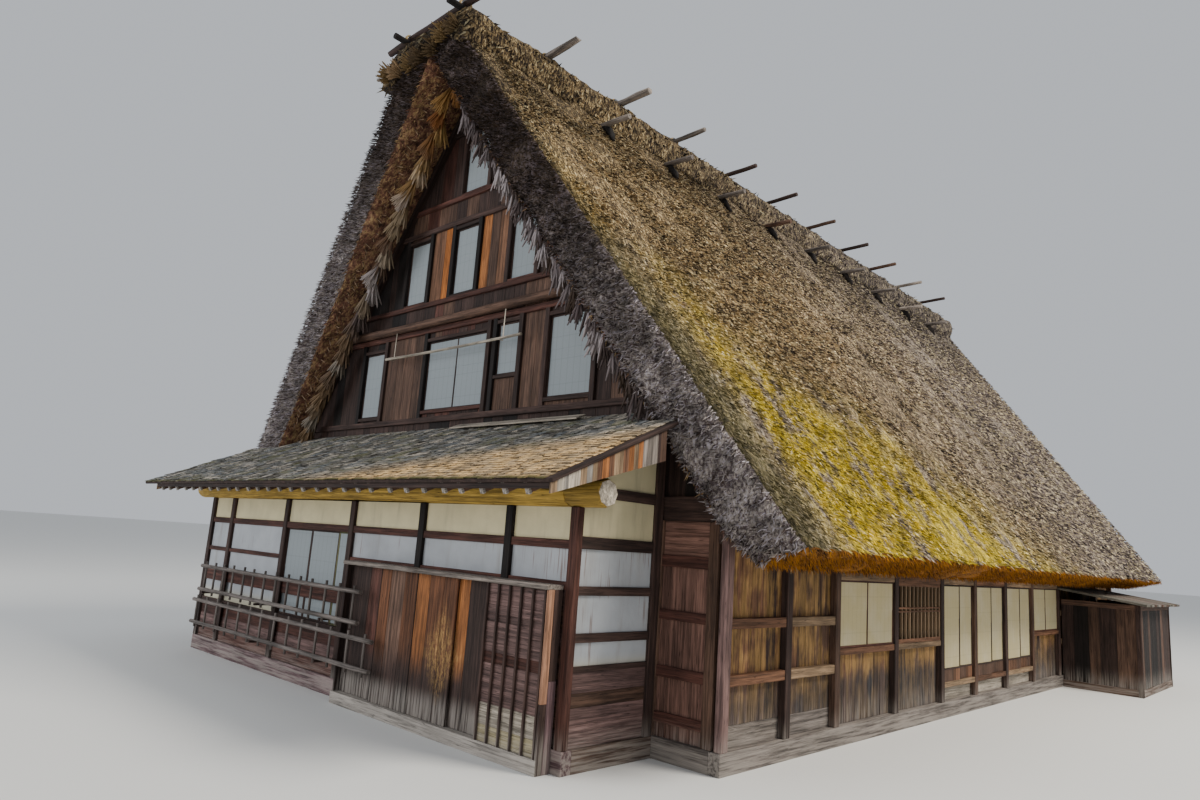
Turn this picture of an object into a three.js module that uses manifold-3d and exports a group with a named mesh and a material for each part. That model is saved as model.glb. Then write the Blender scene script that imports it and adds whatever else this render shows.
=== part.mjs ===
// Thatched farmhouse with a steep gable roof, a front porch under a board pent roof and an annex.
// Millimetres, +Z up. The origin is on the ground, under the middle of the main front sill.
// +X points to the right seen from the front, +Y to the back.
import * as THREE from 'three';
import { mergeVertices } from 'three/addons/utils/BufferGeometryUtils.js';
import Module from 'manifold-3d';

const wasm = await Module();
wasm.setup();

// Driving dimensions
const HALF_WIDTH = 5900;
const LENGTH = 18900;
const WALL_TOP = 2800;
const PLATE_DEEP = 250;
const SILL_TOP = 250;
const SILL_WIDE = 160;
const POST_WIDE = 140;
const POST_DEEP = 100;
const BOARD = 45;
const GAP = 0.3;
const RUN = 5;
const OVERLAP = 1;

// Porch
const PORCH_DEPTH = 1580;
const PORCH_LEFT = -5200;
const PORCH_RIGHT = 4915;
const PORCH_POSTS = { A: -5135, B: -4220, C: -2060, D: 90, E: 1910, F: 3730, G: 4850 };
const LOG_RADIUS = 165;
const LOG_SIDES = 12;
const LOG_HEIGHT = 3000;
const LOG_LEFT = -5750;
const LOG_RIGHT = 5300;
const PORCH_RAIL_INSET = 15;
const PEG = { half: 20, deep: 35 };

// Main roof, as lines in a cross section
const EAVE_X = 7050;
const EAVE_Z = 2560;
const EAVE_IN_X = 6285;
const EAVE_IN_Z = 2330;
const PITCH = THREE.MathUtils.degToRad(53);
const THATCH_TOP = 10900;
const CAP_TOP = 11120;
const CAP_FOOT = 10400;
const CAP_RIGHT = [[1195, 10680], [1190, 10930], [1110, 11060], [950, CAP_TOP]];
const CAP_LEFT = [[1390, CAP_FOOT], [1480, 10500], [1440, 10760], [1250, 11010], [950, CAP_TOP]];
const VERGE_FOOT = 350;
const VERGE_RIDGE = 1150;
const CORNER_ROUND = 450;
const RAFTER_DEEP = 200;
const RAFTER_WIDE = 200;
const RAFTERS = 10;
const PURLIN_LEVELS = [3400, 5100, 6900, 8900];
const PURLIN = { high: 150, deep: 120 };
const BEAM_CLEAR = 40;
const CORNER_TURNS = 5;
const CAP_OVERHANG = 100;

// Pent roof
const PENT_EAVE_Y = -2600;
const PENT_EAVE_Z = 3050;
const PENT_SLOPE = 0.45;
const PENT_THICK = 60;
const PENT_LEFT = -6050;
const PENT_RIGHT = 5500;
const PENT_NECK = -VERGE_FOOT - 260;
const PENT_RAFTERS = 29;
const PENT_RAFTER_FIRST = -5290;
const PENT_RAFTER_STEP = 370;
const PENT_RAFTER = { wide: 60, deep: 130, inset: 90 };
const EAVE_BOARD_INSET = 50;
const FASCIA = { thick: 30, low: 2930 };
const BARGE_LEFT = -5480;
const BARGE_RIGHT = 5470;
const BARGE_THICK = 30;
const BARGE_BACK = -790;
const BARGE_LOW = { front: 2900, back: 3440 };
const REAR_PENT = { out: 1300, high: 4180, half: 4850 };
const BRACKET = { places: [-4500, -2250, 0, 2250, 4500], half: 40, low: 3200, deep: 90, short: 150 };

// Attic floors, top faces
const FLOOR_1 = 3100;
const FLOOR_2 = 6150;
const FLOOR_3 = 8200;
const FLOOR_BOARD = 60;
const JOIST = 160;

// Ground floor deck behind the sliding doors
const DECK_FRONT = 2760;
const DECK_TOP = 500;
const SLEEPERS = 9;

// Right wall: post centres, and the heights of its rails
const BAYS = [0, 1357, 2658, 4577, 6443, 8061, 9799, 11573, 13606, 15370, 17130, LENGTH];
const HEAD = { low: 2200, high: 2320 };
const DOOR_SILL = { low: 480, high: 570 };
const WINDOW_SILL = { low: 1180, high: 1270 };
const RAIL_HIGH = { low: 1590, high: 1710 };
const RAIL_LOW = { low: 950, high: 1070 };
const LATTICE = { inset: 20, bar: 45, rail: 60, bars: 12 };
const WINDOW_SHEET = { inset: 30, thick: 30 };

// Front doors
const LEAF_WIDE = 860;
const LEAF_THICK = 35;
const LEAF_LOW = 162;
const LEAF_HIGH = 1912;
const DOOR_LEFT = 490;
const DOOR_RIGHT = 4730;
const BOX_LEFT = 3700;
const OUTER_TRACK = -1735;
const INNER_TRACK = -1690;
const DOOR_FRONT = -1800;
const LEAF_LEFTS = [DOOR_LEFT + RUN, 1335, 2200, BOX_LEFT - LEAF_WIDE + 190];
const JAMB = { thick: 30, low: 100, past: 20 };
const HOOD = { over: 40, out: 35, high: 60 };
const SHUTTER = { front: 15, back: 35 };
const BATTEN = { count: 6, wide: 40, out: 5, back: 30 };

// Front gable windows: storey, left, right, bottom and top
const GABLE_WINDOWS = [
  { storey: 1, left: -2800, right: -2120, low: 4520, high: 5780 },
  { storey: 1, left: -730, right: 950, low: 4550, high: 5800 },
  { storey: 1, left: 1210, right: 1750, low: 5010, high: 5870 },
  { storey: 1, left: 2450, right: 3400, low: 4550, high: 5830 },
  { storey: 2, left: -1650, right: -1000, low: 6600, high: 7800 },
  { storey: 2, left: -220, right: 430, low: 6600, high: 7820 },
  { storey: 2, left: 1350, right: 1980, low: 6600, high: 7800 },
  { storey: 3, left: -150, right: 540, low: 8490, high: 9650 },
];
const REAR_GABLE_WINDOWS = [
  { storey: 1, left: -2800, right: -2120, low: 4550, high: 5800 },
  { storey: 1, left: -840, right: 840, low: 4550, high: 5800 },
  { storey: 1, left: 2120, right: 2800, low: 4550, high: 5800 },
  { storey: 2, left: -1650, right: -1000, low: 6600, high: 7800 },
  { storey: 2, left: 1000, right: 1650, low: 6600, high: 7800 },
  { storey: 3, left: -345, right: 345, low: 8490, high: 9650 },
];
const STOREYS = [
  { low: 4400, high: 5950 },
  { low: 6480, high: 7920 },
  { low: 8380, high: 9750 },
];
const GABLE_RAILS = [
  [4330, 4430], [5960, 6060], [6480, 6570], [7900, 8000], [8370, 8460], [9680, 9770],
];
const WINDOW_POST = 100;
const WINDOW_TRIM = { past: 20, high: 60 };
const GABLE_RAKE = 180;
const GABLE_FOOT = 300;
const GABLE_PAPER_INSET = 300;
const GABLE_POSTS = { places: [-1800, 1800], half: 80, past: 100 };
const GABLE_BEAM = { left: -3240, right: 2950, out: 60, leftZ: 6130, rightZ: 6150, radius: 95, sides: 10 };
const REAR_BOARDS_INSET = 20;

// Ladders hung on the porch front, and the pole hung on the gable
const LADDER_Y = -1885;
const LADDER_RAIL = 35;
const LADDER_RUNG = 22;
const LADDER_RUNGS = 14;
const LADDER_END = 180;
const LADDERS = [
  { name: 'ladder_upper', left: -4450, right: 1100, low: 1150, high: 1570 },
  { name: 'ladder_lower', left: -4600, right: 1520, low: 560, high: 955 },
];
const POLE = { left: -1800, right: 2000, y: -190, z: 5560, radius: 28 };
const HANGER = { places: [-1600, 1510], half: 12, clear: 10, thick: 20, high: 50, top: 6110 };

// Ridge poles
const RIDGE_POLE_RADIUS = 60;
const LONG_POLE = { x: 800, past: 250 };
const CROSS_HALF = 1650;
const CROSS_LIFT = 1.6 * RIDGE_POLE_RADIUS;
const FRONT_CROSS = { left: -1500, right: 1200, behind: 100 };
const CROSS_POLES = 10;
const CROSS_FIRST = 830;
const CROSS_STEP = 1920;
const NEEDLES = 9;
const NEEDLE_FIRST = 1950;
const NEEDLE_STEP = 1930;
const NEEDLE_Z = 10280;
const RIDGE_BEAM_DEEP = 260;
const NEEDLE_REACH = 1950;
const NEEDLE_START = 160;

// Annex at the right wall
const ANNEX_FRONT = 13750;
const ANNEX_BACK = 17300;
const ANNEX_SIDE = 7480;
const ANNEX_ROOF_HIGH = 2190;
const ANNEX_ROOF_SLOPE = 0.13;
const ANNEX_WALL = 80;
const ANNEX_ROOF = { side: 220, front: 250, back: 200, thick: 60 };

const material = (color, roughness) => new THREE.MeshStandardMaterial({ color, roughness, metalness: 0 });
const TIMBER = '#4a2e20';
const BOARDS = '#5c3b28';
const PAPER = '#d9dcd0';
const THATCH = '#8d7f68';
const SHINGLE = '#6f6a58';
const LOG = '#8a6a3c';
const WEATHERED = '#7b5a44';

const house = new THREE.Group();

function piece(name, shape, color, roughness = 0.85) {
  const geometry = shape.isBufferGeometry ? shape : toGeometry(shape);
  const mesh = new THREE.Mesh(geometry, material(color, roughness));
  mesh.name = name;
  house.add(mesh);
}

function toSolid(geometry) {
  const bare = geometry.clone();
  bare.deleteAttribute('normal');
  bare.deleteAttribute('uv');
  const merged = mergeVertices(bare, 1e-3);
  const vertProperties = new Float32Array(merged.attributes.position.array);
  const triVerts = new Uint32Array(merged.index.array);
  return new wasm.Manifold(new wasm.Mesh({ numProp: 3, vertProperties, triVerts }));
}

function toGeometry(solid) {
  const mesh = solid.getMesh();
  const geometry = new THREE.BufferGeometry();
  geometry.setAttribute('position', new THREE.BufferAttribute(new Float32Array(mesh.vertProperties), 3));
  geometry.setIndex(new THREE.BufferAttribute(new Uint32Array(mesh.triVerts), 1));
  geometry.computeVertexNormals();
  return geometry;
}

function join(geometries) {
  return geometries.map(toSolid).reduce((whole, next) => whole.add(next));
}

function cut(solid, geometries) {
  return geometries.map(toSolid).reduce((rest, tool) => rest.subtract(tool), solid);
}

function block(x0, x1, y0, y1, z0, z1) {
  const geometry = new THREE.BoxGeometry(x1 - x0, y1 - y0, z1 - z0);
  return geometry.translate((x0 + x1) / 2, (y0 + y1) / 2, (z0 + z1) / 2);
}

// A flat outline given as pairs, drawn in the plane across one axis and extruded along that axis
const ALONG = {
  x: { order: (a, b) => [a, b], basis: [[0, 1, 0], [0, 0, 1], [1, 0, 0]] },
  y: { order: (a, b) => [b, a], basis: [[0, 0, 1], [1, 0, 0], [0, 1, 0]] },
  z: { order: (a, b) => [a, b], basis: [[1, 0, 0], [0, 1, 0], [0, 0, 1]] },
};

function prism(axis, outline, from, to) {
  const { order, basis } = ALONG[axis];
  const shape = new THREE.Shape(outline.map(([a, b]) => new THREE.Vector2(...order(a, b))));
  const geometry = new THREE.ExtrudeGeometry(shape, { depth: to - from, bevelEnabled: false });
  geometry.translate(0, 0, from);
  const [u, v, w] = basis.map((direction) => new THREE.Vector3(...direction));
  return geometry.applyMatrix4(new THREE.Matrix4().makeBasis(u, v, w));
}

function rod(from, to, radius, sides = 8) {
  const start = new THREE.Vector3(...from);
  const end = new THREE.Vector3(...to);
  const direction = end.clone().sub(start);
  const geometry = new THREE.CylinderGeometry(radius, radius, direction.length(), sides);
  geometry.rotateY(Math.PI / sides);
  const turn = new THREE.Quaternion().setFromUnitVectors(new THREE.Vector3(0, 1, 0), direction.normalize());
  geometry.applyQuaternion(turn);
  return geometry.translate(...start.add(end).multiplyScalar(0.5).toArray());
}

// Roof lines: half width at a height, inside the thatch, inside the rafters, and on the outside
const insideThatch = (z) => EAVE_IN_X - (z - EAVE_IN_Z) / Math.tan(PITCH);
const insideRafters = (z) => insideThatch(z) - (RAFTER_DEEP + GAP) / Math.sin(PITCH);
const outsideThatch = (z) => EAVE_X - (z - EAVE_Z) / Math.tan(PITCH);
const apexBelow = (halfWidth) => EAVE_IN_Z + (EAVE_IN_X - halfWidth) * Math.tan(PITCH);
const pentTop = (y) => PENT_EAVE_Z + (y - PENT_EAVE_Y) * PENT_SLOPE;
const mirror = (outline) => outline.map(([a, b]) => [-a, b]).reverse();

// Ground sills: one frame round the house and the porch
function sillFrame(x0, x1, y0, y1) {
  const outer = block(x0, x1, y0, y1, 0, SILL_TOP);
  const inner = block(x0 + SILL_WIDE, x1 - SILL_WIDE, y0 + SILL_WIDE, y1 - SILL_WIDE, -RUN, SILL_TOP + RUN);
  return cut(toSolid(outer), [inner]);
}

function groundSill() {
  const half = SILL_WIDE / 2;
  const main = sillFrame(-HALF_WIDTH, HALF_WIDTH, -half, LENGTH + half);
  return main.add(sillFrame(PORCH_LEFT, PORCH_RIGHT, -PORCH_DEPTH, half));
}

// Raised deck on cross sleepers that stand on the ground
function groundDeck() {
  const side = HALF_WIDTH - SILL_WIDE - GAP;
  const back = LENGTH - SILL_WIDE / 2 - GAP;
  const parts = [block(-side, side, DECK_FRONT, back, DECK_TOP - FLOOR_BOARD, DECK_TOP)];
  for (let i = 0; i < SLEEPERS; i += 1) {
    const y = DECK_FRONT + (i / (SLEEPERS - 1)) * (back - JOIST - DECK_FRONT);
    parts.push(block(-side, side, y, y + JOIST, 0, DECK_TOP - FLOOR_BOARD));
  }
  return join(parts);
}

// Long walls: a proud frame with one sheet of boards behind it, cut through at windows and doors
function rails(y0, y1, levels, x0, x1) {
  return levels.map(({ low, high }) => block(x0, x1, y0, y1, low, high));
}

function rightFrame() {
  const outer = HALF_WIDTH;
  const inner = HALF_WIDTH - POST_DEEP;
  const end = POST_WIDE / 2;
  const parts = [
    block(outer - POST_DEEP - BOARD, outer, -end, LENGTH + end, WALL_TOP - PLATE_DEEP, WALL_TOP),
    ...BAYS.map((y) => block(inner, outer, y - end, y + end, SILL_TOP + GAP, WALL_TOP)),
    ...rails(BAYS[0], BAYS[2], [RAIL_HIGH, RAIL_LOW], inner, outer),
    ...rails(BAYS[2], BAYS[8], [HEAD], inner, outer),
    ...rails(BAYS[2], BAYS[4], [WINDOW_SILL], inner, outer),
    ...rails(BAYS[4], BAYS[7], [DOOR_SILL], inner, outer),
    ...rails(BAYS[7], BAYS[8], [WINDOW_SILL], inner, outer),
    ...rails(BAYS[8], BAYS[11], [RAIL_HIGH, RAIL_LOW], inner, outer),
  ];
  return join(parts);
}

const RIGHT_WINDOWS = [
  { name: 'right_window_front', bay: 2, low: WINDOW_SILL.high, high: HEAD.low },
  { name: 'right_lattice', bay: 3, low: WINDOW_SILL.high, high: HEAD.low },
  { name: 'right_window_rear', bay: 7, low: WINDOW_SILL.high, high: HEAD.low },
];

function bayInside(bay) {
  return [BAYS[bay] + POST_WIDE / 2, BAYS[bay + 1] - POST_WIDE / 2];
}

function rightBoards() {
  const outer = HALF_WIDTH - POST_DEEP;
  const sheet = block(outer - BOARD, outer, -POST_WIDE / 2, LENGTH + POST_WIDE / 2, SILL_TOP + GAP, WALL_TOP);
  const openings = RIGHT_WINDOWS.map(({ bay, low, high }) => [...bayInside(bay), low, high]);
  for (const bay of [4, 5, 6]) openings.push([...bayInside(bay), DOOR_SILL.high, HEAD.low]);
  const past = 2 * BOARD;
  const tools = openings.map(([y0, y1, low, high]) => block(outer - past, outer + past, y0, y1, low, high));
  return cut(toSolid(sheet), tools);
}

// Paper windows that fill a bay of the right wall
function framedWindow(bay, low, high, x0, x1) {
  const [y0, y1] = bayInside(bay);
  return block(x0, x1, y0 + GAP, y1 - GAP, low + GAP, high - GAP);
}

function latticeWindow(bay, low, high) {
  const [y0, y1] = bayInside(bay);
  const { bar, rail, bars } = LATTICE;
  const outer = HALF_WIDTH - LATTICE.inset;
  const middle = (low + high) / 2;
  const level = (z0, z1) => block(outer - bar, outer, y0 + GAP, y1 - GAP, z0, z1);
  const parts = [level(low + GAP, low + rail), level(high - rail, high - GAP), level(middle, middle + rail)];
  for (let i = 0; i < bars; i += 1) {
    const y = y0 + GAP + (i / (bars - 1)) * (y1 - y0 - bar - 2 * GAP);
    parts.push(block(outer - bar, outer, y, y + bar, low + GAP, high - GAP));
  }
  return join(parts);
}

// Two sliding paper doors in each of three bays, the outer one in front
const DOOR_BAYS = [4, 5, 6];
const PAPER_DOOR = { thick: 30, overlap: 40, outer: HALF_WIDTH - 12, inner: HALF_WIDTH - 50 };

function paperDoor(bay, outerTrack) {
  const [y0, y1] = bayInside(bay);
  const wide = (y1 - y0 - 2 * RUN + PAPER_DOOR.overlap) / 2;
  const face = outerTrack ? PAPER_DOOR.outer : PAPER_DOOR.inner;
  const start = outerTrack ? y0 + RUN : y1 - RUN - wide;
  return block(face - PAPER_DOOR.thick, face, start, start + wide, DOOR_SILL.high + GAP, HEAD.low - RUN);
}

// Left wall: frame and boards in one piece, with closed paper windows in a strip
function leftWall() {
  const outer = -HALF_WIDTH;
  const inner = outer + POST_DEEP;
  const end = POST_WIDE / 2;
  const sheet = [outer + BOARD, outer + 2 * BOARD];
  const parts = [
    block(outer, inner + BOARD, -end, LENGTH + end, WALL_TOP - PLATE_DEEP, WALL_TOP),
    ...BAYS.map((y) => block(outer, inner, y - end, y + end, SILL_TOP + GAP, WALL_TOP)),
    ...rails(BAYS[0], BAYS[11], [HEAD, RAIL_LOW], outer, inner),
    block(...sheet, -end, LENGTH + end, SILL_TOP + GAP, WALL_TOP),
  ];
  const holes = [2, 3, 4, 5, 6, 7].map((bay) => {
    const [y0, y1] = bayInside(bay);
    return block(outer - end, inner + end, y0, y1, RAIL_LOW.high, HEAD.low);
  });
  return cut(join(parts), holes);
}

function leftPaper() {
  const x0 = -HALF_WIDTH + POST_DEEP + GAP;
  const x1 = x0 + PAPER_DOOR.thick;
  return block(x0, x1, BAYS[2], BAYS[8], RAIL_LOW.low, HEAD.high);
}

// Short front walls on both sides of the porch
const FRONT_RAILS = [[2240, 2380], [1610, 1730], [940, 1070], [420, 540]];

function frontWall(x0, x1) {
  const front = -POST_WIDE / 2;
  const parts = [
    block(x0, x1, -BOARD / 2, BOARD / 2, SILL_TOP + GAP, WALL_TOP - GAP),
    block(x0, x0 + POST_WIDE, front, -front, SILL_TOP + GAP, WALL_TOP - GAP),
    block(x1 - POST_WIDE, x1, front, -front, SILL_TOP + GAP, WALL_TOP - GAP),
    ...FRONT_RAILS.map(([low, high]) => block(x0, x1, front, 0, low, high)),
  ];
  return join(parts);
}

// Rear wall with two wide window openings and a door opening closed with paper panels
const REAR_POSTS = [-5700, -3640, -1820, 0, 1820, 3640, 5700];
const REAR_BAYS = [1, 2, 3, 4];

function rearWall() {
  const y = LENGTH;
  const side = HALF_WIDTH - POST_DEEP - BOARD - 2 * GAP;
  const half = POST_WIDE / 2;
  const face = [y - half, y + half];
  const parts = [
    block(-side, side, y - BOARD / 2, y + BOARD / 2, SILL_TOP + GAP, WALL_TOP - GAP),
    ...REAR_POSTS.map((x) => {
      const centre = THREE.MathUtils.clamp(x, -side + half, side - half);
      return block(centre - half, centre + half, ...face, SILL_TOP + GAP, WALL_TOP - GAP);
    }),
    block(-side, side, ...face, HEAD.low, HEAD.high),
    block(-side, side, ...face, RAIL_LOW.low, RAIL_LOW.high),
  ];
  const holes = REAR_BAYS.map((bay) => block(REAR_POSTS[bay] + half, REAR_POSTS[bay + 1] - half,
    y - POST_WIDE, y + POST_WIDE, RAIL_LOW.high, HEAD.low));
  return cut(join(parts), holes);
}

function rearPaper() {
  const y1 = LENGTH - POST_WIDE / 2 - GAP;
  return block(REAR_POSTS[1], REAR_POSTS[5], y1 - PAPER_DOOR.thick, y1, RAIL_LOW.low, HEAD.high);
}

// Porch front: posts and rails, with the log on top
const PORCH_FACE = -PORCH_DEPTH;
const PORCH_BACK = PORCH_FACE + POST_DEEP;
const LOG_BOTTOM = LOG_HEIGHT - LOG_RADIUS * Math.cos(Math.PI / LOG_SIDES);
const PORCH_TOP = LOG_BOTTOM - GAP;
const PORCH_POST = 130;
const LINTEL = { low: 1925, high: 2010 };
const PORCH_RAILS = [
  { from: 'A', to: 'G', low: 2370, high: 2470 },
  { from: 'A', to: 'C', low: 1850, high: 1920 },
  { from: 'A', to: 'D', low: 900, high: 970 },
  { from: 'D', to: 'G', low: LINTEL.low, high: LINTEL.high },
];

function porchFrame() {
  const half = PORCH_POST / 2;
  const parts = Object.entries(PORCH_POSTS).map(([name, x]) => {
    const foot = name === 'E' ? LINTEL.low : SILL_TOP + GAP;
    return block(x - half, x + half, PORCH_FACE, PORCH_BACK, foot, PORCH_TOP);
  });
  for (const { from, to, low, high } of PORCH_RAILS) {
    parts.push(block(PORCH_POSTS[from], PORCH_POSTS[to], PORCH_FACE + PORCH_RAIL_INSET, PORCH_BACK, low,
      high));
  }
  for (const { low } of LADDERS) {
    for (const post of ['B', 'C', 'D']) {
      const x = PORCH_POSTS[post];
      const top = low - LADDER_RAIL * Math.cos(Math.PI / 8) - GAP;
      parts.push(block(x - PEG.half, x + PEG.half, LADDER_Y - LADDER_RAIL, PORCH_FACE + RUN, top - PEG.deep,
        top));
    }
  }
  return join(parts);
}

function porchPanels() {
  const y0 = PORCH_BACK;
  const sheet = block(PORCH_LEFT + PORCH_POST + GAP, PORCH_RIGHT - PORCH_POST - GAP, y0, y0 + BOARD,
    SILL_TOP + GAP, PORCH_TOP);
  const past = 2 * BOARD;
  const hole = (from, to, low, high) => block(PORCH_POSTS[from] + PORCH_POST / 2,
    PORCH_POSTS[to] - PORCH_POST / 2, y0 - past, y0 + past, low, high);
  return cut(toSolid(sheet), [
    hole('C', 'D', PORCH_RAILS[2].high, PORCH_RAILS[0].low),
    block(DOOR_LEFT, PORCH_POSTS.F - PORCH_POST / 2, y0 - past, y0 + past, SILL_TOP - past, LINTEL.low),
  ]);
}

function porchPaper() {
  const half = PORCH_POST / 2 + GAP;
  const y1 = PORCH_BACK - GAP;
  return block(PORCH_POSTS.C + half, PORCH_POSTS.D - half, y1 - PAPER_DOOR.thick, y1,
    PORCH_RAILS[2].high + GAP, PORCH_RAILS[0].low - GAP);
}

// Side walls of the porch, with a top that follows the pent roof
const SIDE_RAILS = [[2970, 3100], [2380, 2520], [1870, 1970], [1360, 1460], [1050, 1110]];

function porchSide(x0, x1) {
  const y0 = PORCH_BACK + GAP;
  const y1 = -SILL_WIDE / 2 - GAP;
  const limit = apexBelow(Math.max(Math.abs(x0), Math.abs(x1))) - 3 * RUN;
  const under = (y) => Math.min(pentTop(y) - PENT_THICK - RUN, limit);
  const bend = Math.min(y1 - OVERLAP, PENT_EAVE_Y + (limit + PENT_THICK + RUN - PENT_EAVE_Z) / PENT_SLOPE);
  const side = (start) => [[start, SILL_TOP + GAP], [y1, SILL_TOP + GAP], [y1, under(y1)], [bend, under(bend)],
    [start, under(start)]];
  const middle = (x0 + x1) / 2;
  const sheet = prism('x', side(y0), middle - BOARD / 2, middle + BOARD / 2);
  const post = prism('x', side(Math.min(y1 - POST_WIDE, bend - OVERLAP)), x0, x1);
  const inset = PORCH_RAIL_INSET;
  const bars = SIDE_RAILS.map(([low, high]) => block(x0 + inset, x1 - inset, y0, y1, low, high));
  const corner = LOG_RADIUS + PORCH_DEPTH - POST_DEEP / 2;
  const log = block(x0 - BOARD, x1 + BOARD, -corner - LOG_RADIUS, -corner + 2 * LOG_RADIUS,
    LOG_BOTTOM - RUN, pentTop(0));
  return cut(join([sheet, post, ...bars]), [log]);
}

function porchLog() {
  const y = -PORCH_DEPTH + POST_DEEP / 2;
  const log = new THREE.CylinderGeometry(LOG_RADIUS, LOG_RADIUS, LOG_RIGHT - LOG_LEFT, LOG_SIDES);
  log.rotateY(Math.PI / LOG_SIDES);
  log.rotateZ(Math.PI / 2);
  return log.translate((LOG_LEFT + LOG_RIGHT) / 2, y, LOG_HEIGHT);
}

// Pent roof deck, its rafters on a purlin over the log, and its face boards
function pentDeck() {
  const back = -POST_DEEP - GAP;
  const sheet = (y0, y1, x0, x1) => prism('x', [[y0, pentTop(y0) - PENT_THICK], [y1, pentTop(y1) - PENT_THICK],
    [y1, pentTop(y1)], [y0, pentTop(y0)]], x0, x1);
  const half = insideThatch(pentTop(back)) - RUN;
  return join([
    sheet(PENT_EAVE_Y, PENT_NECK, PENT_LEFT, PENT_RIGHT),
    sheet(PENT_NECK - RUN, back, -half, half),
  ]);
}

function pentRafters() {
  const under = (y) => pentTop(y) - PENT_THICK - GAP;
  const { wide, deep, inset } = PENT_RAFTER;
  const y0 = PENT_EAVE_Y + inset;
  const y1 = -POST_DEEP - GAP;
  const logY = -PORCH_DEPTH + POST_DEEP / 2;
  const logTop = 2 * LOG_HEIGHT - LOG_BOTTOM + GAP;
  const half = wide;
  const last = PENT_RAFTER_FIRST + (PENT_RAFTERS - 1) * PENT_RAFTER_STEP;
  const parts = [prism('x', [[logY - half, logTop], [logY + half, logTop],
    [logY + half, under(logY + half) - deep / 2], [logY - half, under(logY - half) - deep / 2]],
  PENT_RAFTER_FIRST - wide, last + wide)];
  for (let i = 0; i < PENT_RAFTERS; i += 1) {
    const x = PENT_RAFTER_FIRST + i * PENT_RAFTER_STEP;
    const back = Math.abs(x) + wide < insideThatch(pentTop(y1)) ? y1 : PENT_NECK;
    parts.push(prism('x', [[y0, under(y0) - deep], [back, under(back) - deep], [back, under(back)],
      [y0, under(y0)]], x - wide / 2, x + wide / 2));
  }
  return join(parts);
}

function pentFascia() {
  const y0 = PENT_EAVE_Y + EAVE_BOARD_INSET;
  const under = pentTop(y0) - PENT_THICK - GAP;
  const end = BARGE_THICK + GAP;
  return block(BARGE_LEFT + end, BARGE_RIGHT - end, y0, y0 + FASCIA.thick, FASCIA.low, under);
}

function pentBarge(outer, inner) {
  const y0 = PENT_EAVE_Y + EAVE_BOARD_INSET;
  const y1 = BARGE_BACK;
  const under = (y) => pentTop(y) - PENT_THICK - GAP;
  const outline = [[y0, BARGE_LOW.front], [y1, BARGE_LOW.back], [y1, under(y1)], [y0, under(y0)]];
  return prism('x', outline, Math.min(outer, inner), Math.max(outer, inner));
}

// Rear pent roof on brackets
function rearPent() {
  const wall = REAR_GABLE.back + GAP;
  const out = wall + REAR_PENT.out;
  const top = (y) => REAR_PENT.high - (y - wall) * PENT_SLOPE;
  const under = (y) => top(y) - PENT_THICK;
  const deck = [[wall, under(wall)], [out, under(out)], [out, top(out)], [wall, top(wall)]];
  const foot = out - BRACKET.short;
  const bracket = [[wall, BRACKET.low], [wall + BRACKET.deep, BRACKET.low], [foot, top(foot) - 2 * PENT_THICK],
    [foot, top(foot) - RUN], [wall, top(wall) - RUN]];
  return join([
    prism('x', deck, -REAR_PENT.half, REAR_PENT.half),
    ...BRACKET.places.map((x) => prism('x', bracket, x - BRACKET.half, x + BRACKET.half)),
  ]);
}

// Front doors: a frame that stands in front of the porch wall, with four leaves and a shutter box
function doorFrame() {
  const back = PORCH_FACE - GAP;
  const front = DOOR_FRONT + JAMB.thick;
  const [left, right] = [DOOR_LEFT - JAMB.thick, DOOR_RIGHT + JAMB.thick];
  return join([
    block(DOOR_LEFT - HOOD.over, DOOR_RIGHT + HOOD.over, DOOR_FRONT - HOOD.out, back, LEAF_HIGH + RUN,
      LEAF_HIGH + HOOD.high),
    block(left, right, DOOR_FRONT, back, 0, LEAF_LOW - GAP),
    block(left, DOOR_LEFT, front, back, JAMB.low, LEAF_HIGH + JAMB.past),
    block(DOOR_RIGHT, right, DOOR_FRONT, back, JAMB.low, LEAF_HIGH + JAMB.past),
  ]);
}

function shutterBox() {
  const y0 = DOOR_FRONT;
  const right = DOOR_RIGHT - GAP;
  const { count, wide, out, back } = BATTEN;
  const parts = [block(BOX_LEFT, right, y0 + SHUTTER.front, y0 + SHUTTER.back, LEAF_LOW, LEAF_HIGH)];
  for (let i = 0; i < count; i += 1) {
    const x = BOX_LEFT + (i / (count - 1)) * (right - wide - BOX_LEFT);
    parts.push(block(x, x + wide, y0 - out, y0 + back, LEAF_LOW, LEAF_HIGH));
  }
  return join(parts);
}

function doorLeaf(index) {
  const outer = index === 1 || index === 2;
  const y0 = outer ? OUTER_TRACK : INNER_TRACK;
  return block(LEAF_LEFTS[index], LEAF_LEFTS[index] + LEAF_WIDE, y0, y0 + LEAF_THICK, LEAF_LOW, LEAF_HIGH);
}

// Ladders laid flat against the porch front on pegs
function ladder({ left, right, low, high }) {
  const parts = [rod([left, LADDER_Y, low], [right, LADDER_Y, low], LADDER_RAIL),
    rod([left, LADDER_Y, high], [right, LADDER_Y, high], LADDER_RAIL)];
  for (let i = 0; i < LADDER_RUNGS; i += 1) {
    const x = left + LADDER_END + (i / (LADDER_RUNGS - 1)) * (right - left - 2 * LADDER_END);
    parts.push(rod([x, LADDER_Y, low], [x, LADDER_Y, high], LADDER_RUNG, 6));
  }
  return join(parts);
}

// Gable walls: a frame with a sheet of boards behind it
function gableOutline(low, inset) {
  return [[-insideThatch(low) + inset, low], [insideThatch(low) - inset, low], [0, apexBelow(inset)]];
}

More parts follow.
